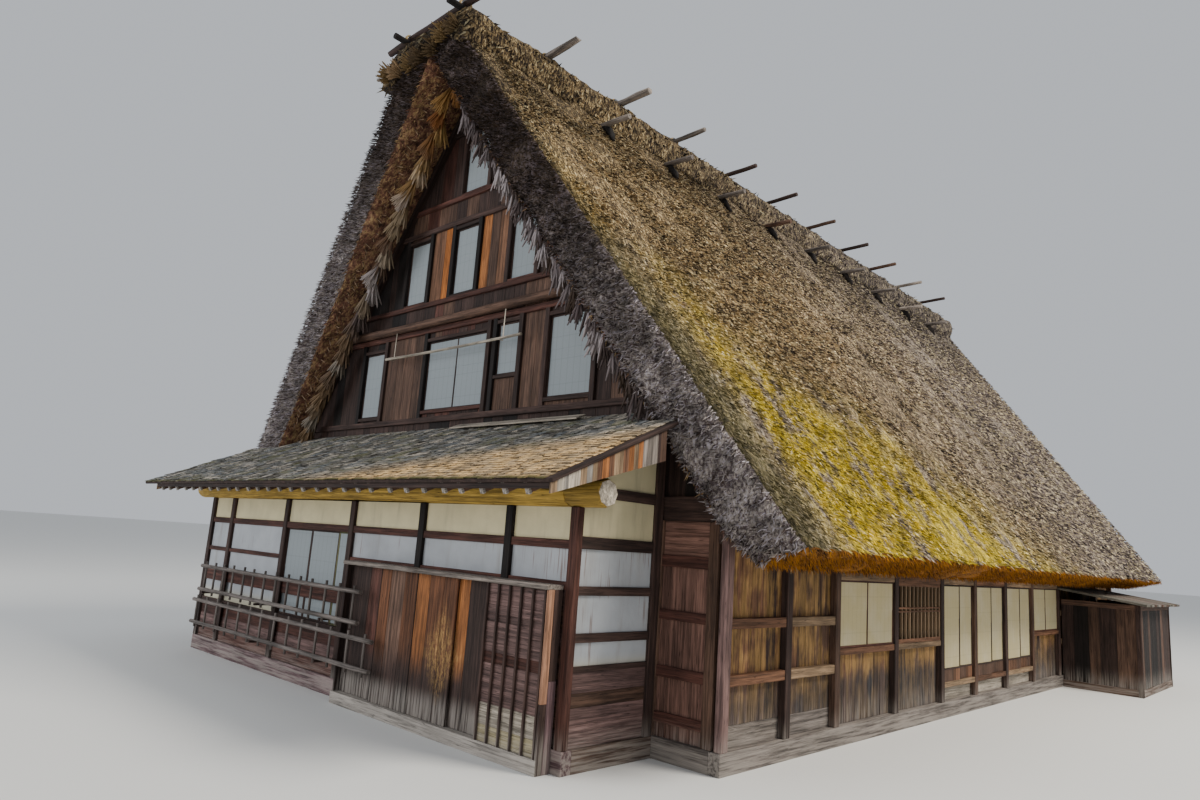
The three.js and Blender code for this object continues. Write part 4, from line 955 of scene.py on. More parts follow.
def bundles():
    """Bundles tied one over the other under the left overhang, and loose tufts along the right verge"""
    first, last, count = np.array([0.18, -0.62, 10.4]), np.array([-4.3, -0.26, 4.3]), 29
    step = (last - first) / (count - 1)
    one = tuft("straw_bundles", 79, (-0.5, 0, -0.86), 0.2, (0.36, 0.52), 40, "bundle")
    row(one, count, first, step, "thatch", (0.04, 0.03, 0.04), (0.12, 0.12, 0.5))
    peg = Work("bundle_pegs", 81)
    peg.pole([(-0.12, 0, 0.1), (0.06, -0.03, -0.02)], (0.01, 0.008), "tan", 5)
    row(peg, 2 * count, first + (-0.16, -0.2, 0.04), step * (count - 1) / (2 * count - 1), "thatch",
        (0.02, 0.05, 0.03), (0.2, 0.3, 0.3))
    loose, count = tuft("loose_tufts", 85, (0, 0.1, -1), 0.1, (0.16, 0.4), 14, "tuft"), 80
    first, last = (np.array([thatch_x(EAVE_IN, z) - 0.02, verge_y(z) + 0.05, z]) for z in (9.5, 4.0))
    row(loose, count, first, (last - first) / (count - 1), "thatch", (0.06, 0.05, 0.04), (0.3, 0.2, 1.5))
    cut = tuft("ridge_front_rolls", 87, (0, -1, -0.15), 0.2, (0.3, 0.42), 70, "roll")
    row(cut, 7, (-1.22, -0.95, 10.62), (0.33, 0, 0.035), "thatch", (0.05, 0.04, 0.06), (0.2, 1.0, 0.2))


# Ridge
def ridge_cap():
    """The straw cap on the ridge, flush with the right slope and overhanging the left one"""
    corners = np.array([(0.70, 10.86), (1.143, 10.4), (1.195, 10.68), (1.19, 10.93), (1.11, 11.06),
                        (0.95, CAP_TOP), (-0.95, CAP_TOP), (-1.25, 11.01), (-1.44, 10.76), (-1.48, 10.5),
                        (-1.39, 10.4), (-1.143, 10.4), (-0.70, 10.86), (0.70, 10.86)])
    reach = reach_along(corners)
    around = np.linspace(0, reach[-1], 73)[:-1]
    front, rear = CAP_ENDS
    stations = np.concatenate([[front + 0.06], np.linspace(front + 0.1, rear - 0.1, 214), [rear - 0.06]])
    rings = np.empty((len(stations), len(around), 3))
    rings[..., 0], rings[..., 2] = (np.interp(around, reach, corners[:, i]) for i in (0, 1))
    rings[..., 1] = stations[:, None]
    flat = rings.reshape(-1, 3)
    away = (flat - (-0.1, 0, 10.85)) * (1, 0, 1)
    away /= np.linalg.norm(away, axis=1, keepdims=True)
    rough = lumps(flat, (0.14, 0.12, 0.14), 51) * 0.035 + lumps(flat, (0.5, 0.35, 0.5), 52) * 0.04
    rings = (flat + away * (rough - 0.03)[:, None]).reshape(rings.shape)
    rings[[0, -1]] = rings[[0, -1]].mean(axis=1, keepdims=True) * 0.25 + rings[[0, -1]] * 0.75
    work = Work("ridge_straw_cap", 5)
    grain = np.stack([np.broadcast_to(around, rings.shape[:2]), rings[..., 1], rings[..., 2]], axis=-1)
    work.loft(rings[:, ::-1], grain, "white", "slope", smooth=True)
    cover = work.finish_as("thatch", "ridge_cap").data
    for side, lay, seed in (("right", (0.5, -0.1, -0.4), 55), ("left", (-0.6, -0.3, -0.6), 56)):
        straws("ridge_straw_" + side, cover.copy(), "slope_straw", 60.0, lay, 0.6, (0.06, 0.15), 0.04, seed)


def ridge_poles():
    """Two long poles and the cross poles tied to them, and the needles through the straw below, each ringed
    by a black painted shadow hole
    """
    work = Work("ridge_pole_set", 6)
    bed = CAP_TOP + 0.055
    over = bed + 0.095
    half = 1.65
    for x, y in itertools.product(LONG_POLES, (FRONT_POLE, *CROSS_POLES[:3])):
        for i in range(3):
            ring = [(x + 0.03 * i - 0.03, y + 0.12 * math.cos(a), bed + 0.06 + 0.13 * math.sin(a))
                    for a in np.linspace(0, 2 * math.pi, 13)]
            work.pole(ring, 0.012, "rope", 5)
    for x in LONG_POLES:
        work.pole(bent((x, -1.4, bed), (x, 20.05, bed), 30, (0.02, 0, 0.01)), 0.055, "dark black", 8, 0.05)
    for i, y in enumerate(CROSS_POLES):
        path = bent((-half, y, over), (half, y + work.chance.uniform(-0.1, 0.1), over), 12)
        path[:, 2] += (0.03 if i else 0.1) * (np.abs(path[:, 0]) / half) ** 2 - 0.02
        work.pole(path, (0.075, 0.07, 0.05)[min(i, 2)], "brown grey dark", 8, 0.06)
    path = bent((-1.5, FRONT_POLE, over), (1.2, FRONT_POLE, over), 10, (0, 0, 0.02))
    work.pole(path, 0.06, "dark", 8, 0.06)
    work.finish_as("timber", "ridge_poles")
    needles = Work("ridge_needle_set", 7)
    needles.member((0, 0.2, 10.12), (0, 18.7, 10.12), 0.5, 0.26, X, "dark")
    for y in NEEDLES:
        end = y + needles.chance.uniform(-0.03, 0.03)
        needles.pole(bent((-1.95, y, 10.24), (1.95, end, 10.24), 12, (0, 0, 0.04)), 0.052,
                     "grey ladder brown", 8, 0.05)
        # A short black pole lying in the straw's surface below each needle: a painted shadow hole
        for side in (1, -1):
            lift = 0.03 * np.array([side * math.sin(PITCH), 0, math.cos(PITCH)])
            painted_shadow_hole = [lift + (side * thatch_x(EAVE_OUT, z), y + 0.03, z) for z in (10.22, 10.1, 9.96, 9.86)]
            needles.pole(painted_shadow_hole, (0.05, 0.085, 0.08, 0.03), "black", 7, 0.25)
    needles.finish_as("timber", "ridge_needles")


# Gables
def gable(name, wall, windows, seed, tints):
    """A gable's rails, and its boards around the window holes, each with its own thin frame"""
    work = Work(name + "_gable_boards", seed, wall)
    rails = ((WALL_TOP, WALL_TOP + 0.3), *GABLE_RAILS)
    rail_back, board_face, board_back, frame_wide, lap = -0.07, -0.052, -0.1, 0.1, 0.02
    for low, high in rails:
        half = thatch_x(EAVE_IN, high) + 0.1
        work.level(-half, half, rail_back, 0.0, low, high, "red dark dark", rings=6, sway=0.003, **POST)
    lows = (high for _, high in rails)
    highs = (*(low for low, _ in GABLE_RAILS), APEX_IN)
    for low, high in zip(lows, highs):
        holes = [w for w in windows if w[3] >= low - 0.3 and w[4] <= high + 0.3]
        half = thatch_x(EAVE_IN, low)
        edges = {-half, half, *(edge for w in holes for edge in (w[1] - frame_wide, w[2] + frame_wide))}
        for u0, u1 in itertools.pairwise(sorted(edges)):
            place = (u0, u1, board_face, board_back)
            hole = [w for w in holes if w[1] < (u0 + u1) / 2 < w[2]]
            if not hole:
                under = lambda u: height_inside(u) + 0.25
                work.upright_boards(*place, low - lap, high + lap, tints, 0.28, under)
                continue
            _, left, right, bottom, top = hole[0]
            work.upright_boards(*place, low - lap, bottom, tints, 0.25)
            work.upright_boards(*place, top, high + lap, tints, 0.25)
            for u in (left - frame_wide / 2, right + frame_wide / 2):
                work.upright(u, frame_wide, rail_back, -0.004, low - lap, high + lap, "dark black", **RAIL)
            heights = ((bottom - 0.06, bottom), (top, top + 0.06))
            work.levels(left - lap, right + lap, rail_back, -0.01, heights, "dark red")
    for side in (1, -1):
        foot = wall.at(side * (thatch_x(EAVE_IN, WALL_TOP) - 0.09), -0.04, WALL_TOP)
        work.member(foot, wall.at(0, -0.04, APEX_IN - 0.15), 0.2, 0.1, wall.out, "dark")
    return work


def front_board(u, z):
    """The colours of the front gable's boards: dark at the left and top, the left as painted shadow under the
    overhang, some bright between windows
    """
    # Near-black at the left, as painted shadow under the left overhang, and along the lowest boards
    if u < -1.7 and z > 6 or u < -2.1 or z < 4.2:
        return "black dark dark"
    if z > 8.2:
        return "dark dark red"
    if 6.4 < z < 7.9 and abs(u) < 1.4:
        return "orange rust" if -0.66 < u < -0.3 or 0.5 < u < 0.75 else "umber red brown"
    if z < 6 and (-2.0 < u < -0.8 or 1.8 < u < 2.4):
        return "brown brown umber brown"
    return "dark brown dark red"


def front_trim(work):
    """The front gable's posts and log, and the two hooks of the pole that hangs before it"""
    for x in (-1.8, 1.8):
        work.upright(x, 0.16, -0.1, 0.0, SILL_TOP, WALL_TOP + 0.1, "dark")
    work.pole(bent((-3.24, -0.11, 6.13), (2.95, -0.11, 6.15), 16, (0, 0, -0.02)), 0.075, "brown", 12, 0.03)
    low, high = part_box("hanging_pole")
    y, z = (low[1] + high[1]) / 2, (low[2] + high[2]) / 2
    for x in (-1.6, 1.51):
        work.member((x, y + 0.045, z - 0.02), (x, -0.14, 6.05), 0.02, 0.012, X, "pale")
        work.member((x, y + 0.05, z - 0.035), (x, y - 0.04, z - 0.035), 0.02, 0.012, X, "pale")


def gables():
    """Both gables' boards, and then their paper windows storey by storey"""
    ends = (("front", Wall(0, -0.05, -1), FRONT_WINDOWS, 12, front_board),
            ("rear", Wall(0, LENGTH + 0.05, 1), REAR_WINDOWS, 13, "red brown dark umber purple brown"))
    for name, wall, windows, seed, tints in ends:
        work = gable(name, wall, windows, seed, tints)
        if name == "front":
            front_trim(work)
        work.finish_as("boards", name + "_gable")
    for storey, (name, wall, windows, *_) in itertools.product(range(3), ends):
        papers = Work(f"{name}_gable_windows_{storey + 1}", 60 + storey, wall)
        for _, left, right, low, high in [w for w in windows if w[0] == storey]:
            papers.window(left, right, -0.075, low, high, stiles=1 if right - left > 1.2 else 0)
        papers.finish_as("paper", f"{name}_gable_paper_{storey + 1}")


def hanging_pole():
    low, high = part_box("hanging_pole")
    y, z = (low[1] + high[1]) / 2, (low[2] + high[2]) / 2
    work = Work("gable_pole", 14)
    work.pole(bent((low[0], y, z), (high[0], y, z), 18, (0, 0, -0.015)), 0.024, "pale", 8, 0.04)
    work.finish_as("weathered_wood", "hanging_pole")


# Pent roof
def shingles():
    """Courses of split shingles over the pent roof, one row of nodes for each course"""
    deck = Work("pent_deck", 15)
    tilt, up = (np.array(v) / math.hypot(1, PENT_SLOPE) for v in ((0, 1, PENT_SLOPE), (0, -PENT_SLOPE, 1)))
    for x0, x1, y0, y1 in ((*PENT_SIDES, PENT_EAVE[0] + 0.02, PENT_NECK),
                           (*NECK_SIDES, PENT_NECK, PENT_BACK)):
        start, end = (((x0 + x1) / 2, y, pent_top(y) - 0.035) for y in (y0, y1))
        deck.member(start, end, x1 - x0, 0.045, X, "dark", chamfer=0.01)
    start, end = ((x, -0.25, pent_top(-0.25) + 0.06) for x in (0.6, 3.5))
    deck.member(start, end, 0.2, 0.02, (0, 1, PENT_SLOPE), "pale")
    deck.finish_as("shingles", "pent_roof")
    for i in range(int((PENT_BACK - PENT_EAVE[0]) / COURSE)):
        y = PENT_EAVE[0] + 0.015 + i * COURSE
        left, right = PENT_SIDES if y < PENT_NECK - 0.1 else NECK_SHINGLES
        one = Work(f"shingle_course_{i + 1:02d}", 100 + i)
        start = -tilt * 0.01 + up * 0.012
        one.member(start, start + tilt * 0.2 + up * -0.012, SHINGLE_WIDE * 0.97, 0.013, X, "shingle",
                   finish="shingle", chamfer=0.002)
        first = (left + SHINGLE_WIDE * (0.5 + 0.5 * (i % 2)), y, pent_top(y) - 0.008)
        row(one, int((right - left) / SHINGLE_WIDE) - i % 2, first, (SHINGLE_WIDE, 0, 0), "shingles",
            (0.012, 0.016, 0.006), (0.03, 0.04, 0.09))


def pent_timbers():
    """The pent roof's purlin, rafters with worn ends, face board, and the upright boards at its sides"""
    low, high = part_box("pent_rafters")
    carrier = Work("pent_purlin", 16)
    carrier.member((low[0], LOG_AXIS[0], 3.3), (high[0], LOG_AXIS[0], 3.3), 0.12, 0.2, Y, "dark")
    carrier.finish_as("timber", "pent_rafters")
    one = Work("pent_rafter_row", 17)
    start, end = (np.array([0, y, pent_top(y) - PENT_THICK - 0.066])
                  for y in (PENT_EAVE[0] + 0.09, PENT_NECK))
    one.member(start, end, 0.06, 0.125, X, "brown")
    one.member(start + [0, -0.014, -0.014], start + [0, 0.02, 0.002], 0.062, 0.13, X, "stone")
    row(one, RAFTER_COUNT, (RAFTER_FIRST, 0, 0), (RAFTER_STEP, 0, 0), "timber", turn=(0, 0.012, 0.004))
    low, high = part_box("pent_fascia")
    face = Work("pent_face_board", 18, Wall(0, low[1], -1))
    face.level(low[0], high[0], -0.03, 0, low[2] + 0.02, high[2], "dark", rings=14, sway=0.004, **RAIL)
    face.finish_as("weathered_wood", "pent_fascia")
    tints = ((0.35, "stone tan pale"), (0.75, "rust tan umber"), (0.9, "stone grey"), (1, "brown dark"))
    foot_front, foot_back = 2.9, 3.44
    for node in ("pent_barge_right", "pent_barge_left"):
        low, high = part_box(node)
        board = Work(node + "_boards", 19)
        for edges in board.widths(low[1], high[1], 0.08):
            shares = [(y - low[1]) / (high[1] - low[1]) for y in edges]
            feet = [(low[0], y, foot_front + (foot_back - foot_front) * s) for y, s in zip(edges, shares)]
            tops = [(low[0], y, pent_top(y) - PENT_THICK - 0.004) for y in edges]
            tint = next(names for end, names in tints if shares[0] < end)
            board.plate(feet + tops[::-1], (high[0] - low[0], 0, 0), tint, "wood")
        board.finish_as("weathered_wood", node)


def porch_log():
    """The round log over the porch front, its pale right end cut to eight sides"""
    work = Work("porch_log_round", 20)
    y, z = LOG_AXIS
    left, end = LOG_ENDS
    radii = 0.158 + 0.006 * np.sin(np.linspace(0, 9, 40))
    work.pole(bent((left, y, z), (end - 0.55, y, z), 40, (0, 0, 0.01)), radii, "log", 20, 0.012)
    work.pole([(end - d, y, z) for d in (0.56, 0.03, 0.006)], (0.163, 0.163, 0.152), "log", 8)
    work.pole([(end - d, y, z) for d in (0.02, 0.01, 0)], (0.15, 0.15, 0.146), "pale", 8, 0.02)
    work.finish_as("log", "porch_log")


# Porch
def porch_front():
    """The porch's posts, rails and ladder brackets, the panels between them, and the paper window"""
    wall = Wall(0, PORCH_FACE, -1)
    posts = PORCH_POSTS
    bars = Work("porch_posts_and_rails", 25, wall)
    tints = {"G": "red", "F": "black", "E": "black"}
    for name, x in posts.items():
        foot = 1.925 if name == "E" else SILL_TOP
        bars.upright(x, PORCH_POST, -0.1, 0, foot, PORCH_TOP, tints.get(name, "dark"), rings=3,
                     sway=0.002, **POST)
    for start, end, heights in (("A", "G", (2.37, 2.47)), ("A", "C", (1.85, 1.92)),
                                ("A", "D", (0.90, 0.97)), ("D", "G", (1.925, 2.01))):
        bars.level(posts[start], posts[end], -0.1, -0.015, *heights, "red dark", **RAIL)
    bars.level(posts["A"], posts["D"], -0.1, -0.025, 1.3, 1.5, "red", **RAIL)
    for ladder in ("ladder_upper", "ladder_lower"):
        low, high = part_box(ladder)
        under = low[2] - 0.018
        for x in (posts[post] for post in "BCD"):
            bars.member((x, low[1], under), (x, PORCH_FACE, under), 0.04, 0.035, X, "dark")
            bars.upright(x + 0.1, 0.14, 0.0, 0.02, low[2] - 0.05, high[2] - 0.05, "dark")
    bars.finish_as("plaster_wall", "porch_front")
    panels = Work("porch_panels", 26, wall)
    above, behind_ladders = ((2.0, 2.38),), ((1.91, 2.38), (0.96, 1.86))
    heights = {"A": behind_ladders, "B": behind_ladders, "C": (), "D": above, "E": above, "F": above}
    for left, right in itertools.pairwise(posts):
        u0, u1 = posts[left] + PORCH_POST / 2, posts[right] - PORCH_POST / 2
        for low, high in ((2.46, PORCH_TOP), *heights[left]):
            panels.panel(u0 - 0.01, u1 + 0.01, -0.12, -0.05, low, high, "plaster")
    panels.level_boards(posts["A"], posts["D"], -0.12, -0.04, SILL_TOP, 0.91, "purple red pink", 0.21)
    panels.level_boards(posts["F"], posts["G"], -0.12, -0.05, SILL_TOP, DOOR_HEAD, "purple brown", 0.21)
    panels.upright_boards(posts["D"], 0.49, -0.12, -0.05, SILL_TOP, DOOR_HEAD, "dark brown")
    panels.finish_as("plaster_wall")
    window = Work("porch_paper_window", 27, wall)
    edges = (posts["C"] + PORCH_POST / 2, -1.17, -0.31, posts["D"] - PORCH_POST / 2)
    for left, right, tint in zip(edges, edges[1:], ("dark", "dark", "green")):
        window.window(left, right, -0.07, 0.97, 2.37, tint=tint)
    window.finish_as("paper", "porch_window")


def porch_sides():
    """The porch's side walls: plaster above and boards below, under the slope of the roof"""
    gap = PENT_THICK + 0.01
    for side, node in ((1, "porch_wall_right"), (-1, "porch_wall_left")):
        low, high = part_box(node)
        face = high[0] if side > 0 else low[0]
        work = Work(node + "_panels", 28, Wall(1, face, side))
        y0, y1 = low[1], high[1]
        limit = height_inside(face) - 0.02
        under = lambda y: min(pent_top(y) - gap, limit)
        bend = PENT_EAVE[0] + (limit + gap - PENT_EAVE[1]) / PENT_SLOPE
        inner = face - side * 0.09
        outline = [(inner, y0, 1.1), (inner, y1, 1.1), (inner, y1, under(y1)),
                   (inner, min(bend, y1), under(bend)), (inner, y0, under(y0))]
        work.plate(outline, (side * 0.045, 0, 0), "white", "plaster")
        work.upright(y1 - 0.07, 0.14, -0.13, 0, SILL_TOP, under(y1), "dark", **RAIL)
        rails = ((2.97, 3.10), (2.38, 2.52), (1.87, 1.97), (1.36, 1.46), (1.05, 1.11))
        work.levels(y0, y1 - 0.14, -0.12, -0.015, rails, "dark red", **RAIL)
        work.level_boards(y0, y1 - 0.14, -0.09, -0.03, SILL_TOP, 1.06, "purple brown", 0.22)
        work.finish_as("boards", node)


def doors():
    """The front doorway's surround, its four leaves of boards, and the box that they slide into"""
    low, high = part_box("door_frame")
    head_y, even = (PORCH_FACE - 1.835) / 2, {"rings": 8, "sway": 0.002}
    work = Work("door_surround", 30)
    work.member((low[0], head_y, 1.945), (high[0], head_y, 1.945), 0.255, 0.055, Y, "grey", **POST, **even)
    work.member((0.46, -1.69, 0.081), (4.758, -1.69, 0.081), 0.22, 0.16, Y, "stone", **even)
    for x, y, z0, z1, wide, deep, tint in (
            (0.475, -1.675, 0, DOOR_HEAD, 0.19, 0.03, "dark"),
            (4.748, -1.749, 0, 0.72, 0.092, 0.034, "dark"),
            (4.748, -1.749, 0.72, DOOR_HEAD, 0.092, 0.034, "jamb"),
            (4.748, -1.643, 0, 0.95, 0.116, 0.034, "pink"),
            (4.748, -1.643, 0.95, DOOR_HEAD, 0.116, 0.034, "dark")):
        work.member((x, y, z0), (x, y, z1), wide, deep, Y, tint)
    work.finish_as("timber", "door_frame")
    for i, tints in enumerate((["dark", "red"], ["door_brown", "brown", "door_brown"],
                               ["rust", "door_brown", "door_brown"], ["rust", "dark", "dark"]), 1):
        node = f"door_leaf_{i}"
        low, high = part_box(node)
        leaf = Work(node + "_boards", 30 + i, Wall(0, low[1], -1))
        leaf.upright_boards(low[0], high[0], -0.03, -0.002, low[2], high[2], tints, 0.86 / len(tints),
                            finish="door_wood")
        leaf.upright(low[0] + 0.008, 0.014, -0.02, 0.0, low[2], high[2], "black")
        rails = ((low[2], low[2] + 0.1), (high[2] - 0.1, high[2]))
        leaf.levels(low[0], high[0], -0.035, -0.028, rails, "dark")
        leaf.finish_as("weathered_wood", node, body=HOUSE if i == 1 else node + "_body")
    low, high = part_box("shutter_box")
    wall = Wall(0, low[1] + 0.02, -1)
    bend = low[2] + 0.42
    box = Work("shutter_box_boards", 36, wall)
    box.level_boards(low[0], high[0], -0.032, -0.012, bend, high[2], "purple red purple", 0.11)
    box.level_boards(low[0], high[0], -0.032, -0.012, low[2], bend, "olive pale", 0.21)
    box.finish_as("boards", "shutter_box")
    batten = Work("shutter_box_battens", 37, wall)
    batten.upright(0.02, 0.03, -0.015, 0.018, low[2], high[2], "dark")
    row(batten, 6, (low[0], 0, 0), ((high[0] - low[0] - 0.04) / 5, 0, 0), "boards")


def ladders():
    """The two ladders that hang level before the porch window"""
    for i, node in enumerate(("ladder_upper", "ladder_lower")):
        low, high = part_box(node)
        y = (low[1] + high[1]) / 2
        z0, z1 = low[2] + 0.035, high[2] - 0.035
        rails = Work(node + "_rails", 40 + i)
        for z in (z0, z1):
            bow = (0, 0, rails.chance.uniform(-0.01, 0.01))
            rails.pole(bent((low[0], y, z), (high[0], y, z), 20, bow), 0.033, "ladder", 10, 0.03)
        rails.finish_as("weathered_wood", node)
        rung = Work(node + "_rungs", 42 + i)
        path = [(0, y + 0.004, z0 - 0.085), (0, y, (z0 + z1) / 2), (0, y + 0.004, z1 + 0.085)]
        rung.pole(path, 0.02, "ladder", 8, 0.03)
        row(rung, 14, (low[0] + 0.18, 0, 0), ((high[0] - low[0] - 0.36) / 13, 0, 0), "weathered_wood",
            (0.02, 0, 0.006), (0, 0.02, 0))


# Main walls
def ground_sill():
    """The timbers the walls stand on, around the house and the porch"""
    work = Work("sill_timbers", 44)
    wide, half, middle = 0.16, 0.08, SILL_TOP / 2
    front, rear = -half, LENGTH + half
    side = HALF_WIDTH - half
    porch_front_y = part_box("ground_sill")[0][1]
    left, right = (corner[0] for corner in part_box("porch_front"))
    long, long_porch = {"rings": 20, "sway": 0.002}, {"rings": 14, "sway": 0.002}
    inner = HALF_WIDTH - wide
    for start, end, along, tint, how in (
            ((side, front), (side, rear), X, "ladder", long),
            ((-side, front), (-side, rear), X, "ladder", long),
            ((-inner, 0), (inner, 0), Y, "ladder", {}),
            ((-inner, LENGTH), (inner, LENGTH), Y, "ladder", {}),
            ((left, porch_front_y + half), (right, porch_front_y + half), Y, "pink", long_porch),
            ((left + half, porch_front_y + wide), (left + half, front), X, "brown", {}),
            ((right - half, porch_front_y + wide), (right - half, front), X, "brown", {})):
        work.member((*start, middle), (*end, middle), wide, SILL_TOP, along, tint, **how)
    work.finish_as("timber", "ground_sill")


def right_wall():
    """The long right wall bay by bay: posts and rails, boards, two paper windows and a lattice"""
    wall = Wall(1, HALF_WIDTH, 1)
    work = Work("right_wall_frame", 45, wall)
    for y in BAYS:
        tint = "brown dark" if y else "purple"
        work.upright(y, POST_WIDE, -POST_DEEP, 0, SILL_TOP, WALL_TOP, tint, rings=3, sway=0.001, **POST)
    work.level(-HALF_POST, LENGTH + HALF_POST, -0.145, 0, *PLATE, "dark")
    for first, last, rails in ((0, 2, (RAIL_HIGH, RAIL_LOW)), (2, 8, (HEAD,)), (2, 4, (WINDOW_SILL,)),
                               (4, 7, (DOOR_SILL,)), (7, 8, (WINDOW_SILL,)), (8, 11, (RAIL_HIGH, RAIL_LOW))):
        for heights, bay in itertools.product(rails, range(first, last)):
            work.level(BAYS[bay], BAYS[bay + 1], -POST_DEEP, -0.012, *heights, "tan umber", **RAIL)
    work.finish_as("boards", "right_wall")
    boards = Work("right_wall_boards", 46, wall)
    for bay, (y0, y1) in enumerate(itertools.pairwise(BAYS)):
        place = (y0, y1, -POST_DEEP - 0.04, -POST_DEEP + 0.004)
        door, window, front = 4 <= bay <= 6, bay in (2, 3, 7), bay < 2
        foot = SILL_TOP + 0.25 * (front or door)
        top = 1.2 if window else 0.5 if door else PLATE[0]
        tints = "umber brown dark" if bay < 4 else "brown dark umber"
        if foot > SILL_TOP:
            boards.level_boards(*place, SILL_TOP, foot, "grey ladder" if front else "pale")
        if top > foot:
            boards.upright_boards(*place, foot, top, tints, 0.19, finish="streaked")
        if door or window:
            boards.upright_boards(*place, 2.3, PLATE[0], tints, 0.3, finish="streaked")
    boards.finish_as("boards")
    for bay, node in ((2, "right_window_front"), (7, "right_window_rear")):
        window = Work(node + "_papers", 47, wall)
        left, right = BAYS[bay] + HALF_POST, BAYS[bay + 1] - HALF_POST
        window.window(left, right, -0.04, WINDOW_SILL[1], HEAD[0], 1, "red")
        window.finish_as("paper", node)
    low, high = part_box("right_lattice")
    bars = Work("lattice_frame", 48, wall)
    heights = ((low[2], low[2] + 0.06), (high[2] - 0.06, high[2]), (1.735, 1.765), (1.79, 1.82))
    bars.levels(low[1], high[1], -0.065, -0.02, heights, "umber")
    bars.finish_as("timber", "right_lattice")
    bar = Work("lattice_bars", 49, wall)
    bar.upright(0, 0.045, -0.06, -0.022, low[2], high[2], "tan")
    row(bar, 12, (0, low[1] + 0.0225, 0), (0, (high[1] - low[1] - 0.045) / 11, 0), "timber")


def paper_doors():
    """Three pairs of sliding paper doors with boarded feet, each leaf on its own body"""
    for i, track in itertools.product((1, 2, 3), ("outer", "inner")):
        node = f"paper_door_{i}_{track}"
        low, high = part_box(node)
        door = Work(node + "_papers", 50 + i, Wall(1, high[0], 1))
        foot = low[2] + 0.2
        door.window(low[1], high[1], -0.011, foot, high[2])
        door.upright_boards(low[1], high[1], -0.025, -0.006, low[2], foot, "brown umber", 0.3)
        door.finish_as("paper", node, body=node + "_body")


def bays(name, work, posts, holed, top, tints):
    """Boards between the posts of an unseen wall, with paper windows in some of its bays"""
    for bay, (u0, u1) in enumerate(itertools.pairwise(posts)):
        middle = () if bay in holed else ((1.06, 2.21),)
        for low, high in ((SILL_TOP, 0.96), *middle, (2.3, top)):
            work.upright_boards(u0, u1, -0.09, -0.045, low, high, tints, 0.24)
    work.finish_as("boards", name + "_wall")
    papers = Work(name + "_paper_windows", work.seed + 1, work.wall)
    for bay in holed:
        left, right = posts[bay] + HALF_POST, posts[bay + 1] - HALF_POST
        papers.window(left, right, -0.07, RAIL_LOW[1], HEAD[0], stiles=1)
    papers.finish_as("paper", name + "_paper")


def left_wall():
    work = Work("left_wall_frame", 55, Wall(1, -HALF_WIDTH, -1))
    for y in BAYS:
        work.upright(y, POST_WIDE, -POST_DEEP, 0, SILL_TOP, WALL_TOP, "brown dark", **POST)
    work.level(-HALF_POST, LENGTH + HALF_POST, -0.145, 0, *PLATE, "dark")
    work.levels(0, LENGTH, -POST_DEEP, -0.012, (HEAD, RAIL_LOW), "brown red", **RAIL)
    bays("left", work, BAYS, range(2, 8), PLATE[0], "brown dark red tan")


def rear_wall():
    work = Work("rear_wall_frame", 58, Wall(0, LENGTH + 0.07, 1))
    side = HALF_WIDTH - 0.15
    for x in REAR_POSTS:
        centre = max(-side + HALF_POST, min(side - HALF_POST, x))
        work.upright(centre, POST_WIDE, -0.14, 0, SILL_TOP, WALL_TOP, "dark", **POST)
    work.levels(-side, side, -0.12, -0.01, (HEAD, RAIL_LOW), "brown red", **RAIL)
    bays("rear", work, REAR_POSTS, range(1, 5), WALL_TOP, "brown dark red")


def short_front_walls():
    """The boarded walls on either side of the porch"""
    rails = ((2.24, 2.38), (1.61, 1.73), (0.94, 1.07), (0.42, 0.54))
    for node, tints in (("front_wall_right", "front_brown"), ("front_wall_left", "brown dark")):
        low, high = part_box(node)
        work = Work(node + "_boards", 57, Wall(0, -0.07, -1))
        for x in (low[0] + HALF_POST, high[0] - HALF_POST):
            work.upright(x, POST_WIDE, -0.14, 0, SILL_TOP, WALL_TOP, "brown", **POST)
        left, right = low[0] + 0.1, high[0] - 0.1
        work.levels(left, right, -0.12, -0.012, rails, "brown red", **RAIL)
        work.level_boards(left, right, -0.1, -0.045, 2.36, WALL_TOP, tints, 0.24)
        work.upright_boards(left, right, -0.1, -0.045, SILL_TOP, 2.26, tints)
        work.finish_as("boards", node)


def annex():
    """The boarded annex at the far end of the right wall, and its roof of uneven boards"""
    low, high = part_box("annex_walls")
    work = Work("annex_boards", 70)
    front, back, side = Wall(0, low[1], -1), Wall(0, high[1], 1), Wall(1, high[0], 1)
    for wall, u0, u1 in ((front, low[0], high[0]), (back, low[0], high[0]),
                         (side, low[1] + 0.06, high[1] - 0.06)):
        work.wall = wall
        work.upright_boards(u0, u1, -0.06, -0.02, 0.02, 1.95, "black dark dark brown", 0.26)
        work.levels(u0, u1, -0.06, -0.006, ((1.86, 1.98), (0.002, 0.16)), "brown", **RAIL)
    work.wall = front
    work.upright(high[0] - 0.05, 0.1, -0.07, 0.0, 0, 1.97, "dark")
    work.finish_as("boards", "annex_walls")
    low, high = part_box("annex_roof")
    deck = Work("annex_roof_boards", 71)
    fall = 0.13
    top = high[2] - 0.03
    foot = top - fall * (high[0] - low[0])
    for y0, y1 in deck.widths(low[1], high[1], 0.22):
        y = (y0 + y1) / 2
        end = high[0] - deck.chance.uniform(0, 0.05)
        deck.member((low[0], y, top), (end, y, foot), y1 - y0 - 0.004, 0.05, Y, "shingle grey brown")
    deck.finish_as("shingles", "annex_roof")


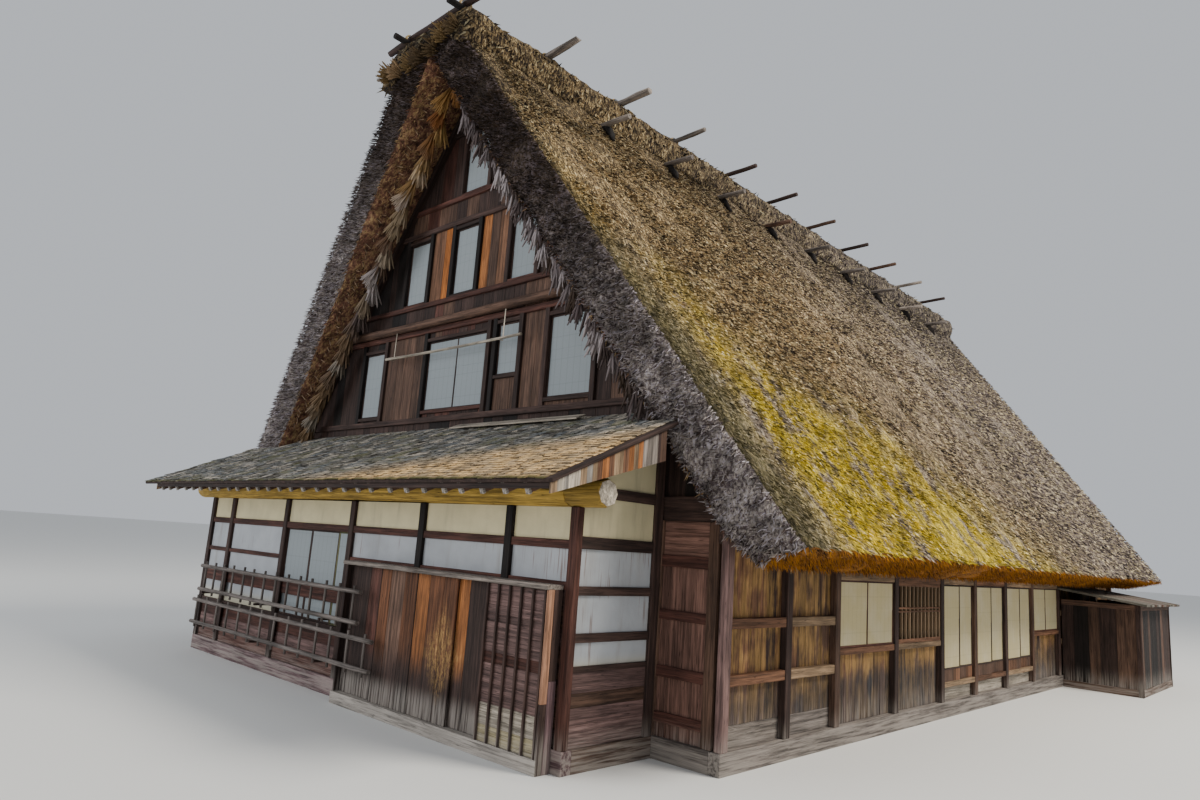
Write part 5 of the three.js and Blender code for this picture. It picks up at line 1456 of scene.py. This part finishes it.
def rear_pent():
    """The rear pent roof: boards, and struts under them from a row of studs"""
    low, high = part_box("rear_pent_roof")
    work = Work("rear_pent_boards", 72)
    top, near, far = 4.18, low[1], high[1]
    foot = top - PENT_SLOPE * (far - near)
    for x0, x1 in work.widths(low[0], high[0], 0.2):
        x = (x0 + x1) / 2
        work.member((x, near, top - 0.03), (x, far, foot - 0.03), x1 - x0 - 0.004, 0.05, X,
                    "shingle grey shingle_blue")
    for x in (-4.5, -2.25, 0, 2.25, 4.5):
        work.member((x, near, 3.25), (x, far - 0.15, foot - 0.1), 0.08, 0.09, X, "dark")
        work.member((x, near + 0.045, 3.2), (x, near + 0.045, top - 0.06), 0.08, 0.09, X, "dark")
    work.finish_as("shingles", "rear_pent_roof")


def kept_nodes():
    """Wood on the model's own pieces that stay"""
    timber = plain_wood_finish("structure_timber", "brown")
    boards = plain_wood_finish("floor_boards", "tan")
    for name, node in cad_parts.items():
        if not node.hide_render:
            node.data.materials.clear()
            node.data.materials.append(boards if name.startswith(("attic", "ground_floor")) else timber)


# Camera, floor and light
def camera():
    data = bpy.data.cameras.new("camera")
    data.lens = CAMERA_LENS
    data.sensor_width = 36.0
    data.clip_end = 500.0
    made = put("camera", data)
    turn = Matrix((CAMERA_RIGHT, CAMERA_UP, -Vector(CAMERA_AHEAD))).transposed()
    made.matrix_world = Matrix.Translation(CAMERA_PLACE) @ turn.to_4x4()
    bpy.context.scene.camera = made


def floor():
    reach = 400.0
    corners = [(-reach, -reach, 0), (reach, -reach, 0), (reach, reach, 0), (-reach, reach, 0)]
    mesh = shaped("studio_floor", corners, [(0, 1, 2, 3)])
    finish = Finish("studio_floor", 0.9)
    finish.shader["Base Color"].default_value = (0.72, 0.72, 0.7, 1)
    mesh.materials.append(finish.material)
    put("studio_floor", mesh)


def light(name, place, target, size, power, colour):
    data = bpy.data.lights.new(name, "AREA")
    data.shape = "SQUARE"
    data.size = size
    data.energy = power
    data.color = colour
    made = put(name, data)
    made.location = place
    made.rotation_euler = (Vector(target) - Vector(place)).to_track_quat("-Z", "Y").to_euler()


def studio():
    world = bpy.data.worlds.new("studio")
    world.use_nodes = True
    sky = world.node_tree.nodes["Background"].inputs
    sky["Color"].default_value = (0.82, 0.86, 0.92, 1)
    sky["Strength"].default_value = 0.7
    bpy.context.scene.world = world
    light("key", (30, 12, 34), (3, 7, 4), 14, 21000, (1.0, 0.94, 0.84))
    light("fill", (-16, -26, 10), (0, 0, 5), 18, 4800, (0.95, 0.97, 1.0))
    light("bounce", (16, -30, 2), (4, 0, 3), 14, 1500, (1.0, 0.97, 0.93))


for build in (thatch, bundles, ridge_cap, ridge_poles, gables, hanging_pole, shingles, pent_timbers,
              porch_log, porch_front, porch_sides, doors, ladders, ground_sill, right_wall, paper_doors,
              left_wall, short_front_walls, rear_wall, annex, rear_pent):
    build()
bpy.data.objects.remove(STRAW)
kept_nodes()
camera()
floor()
studio()
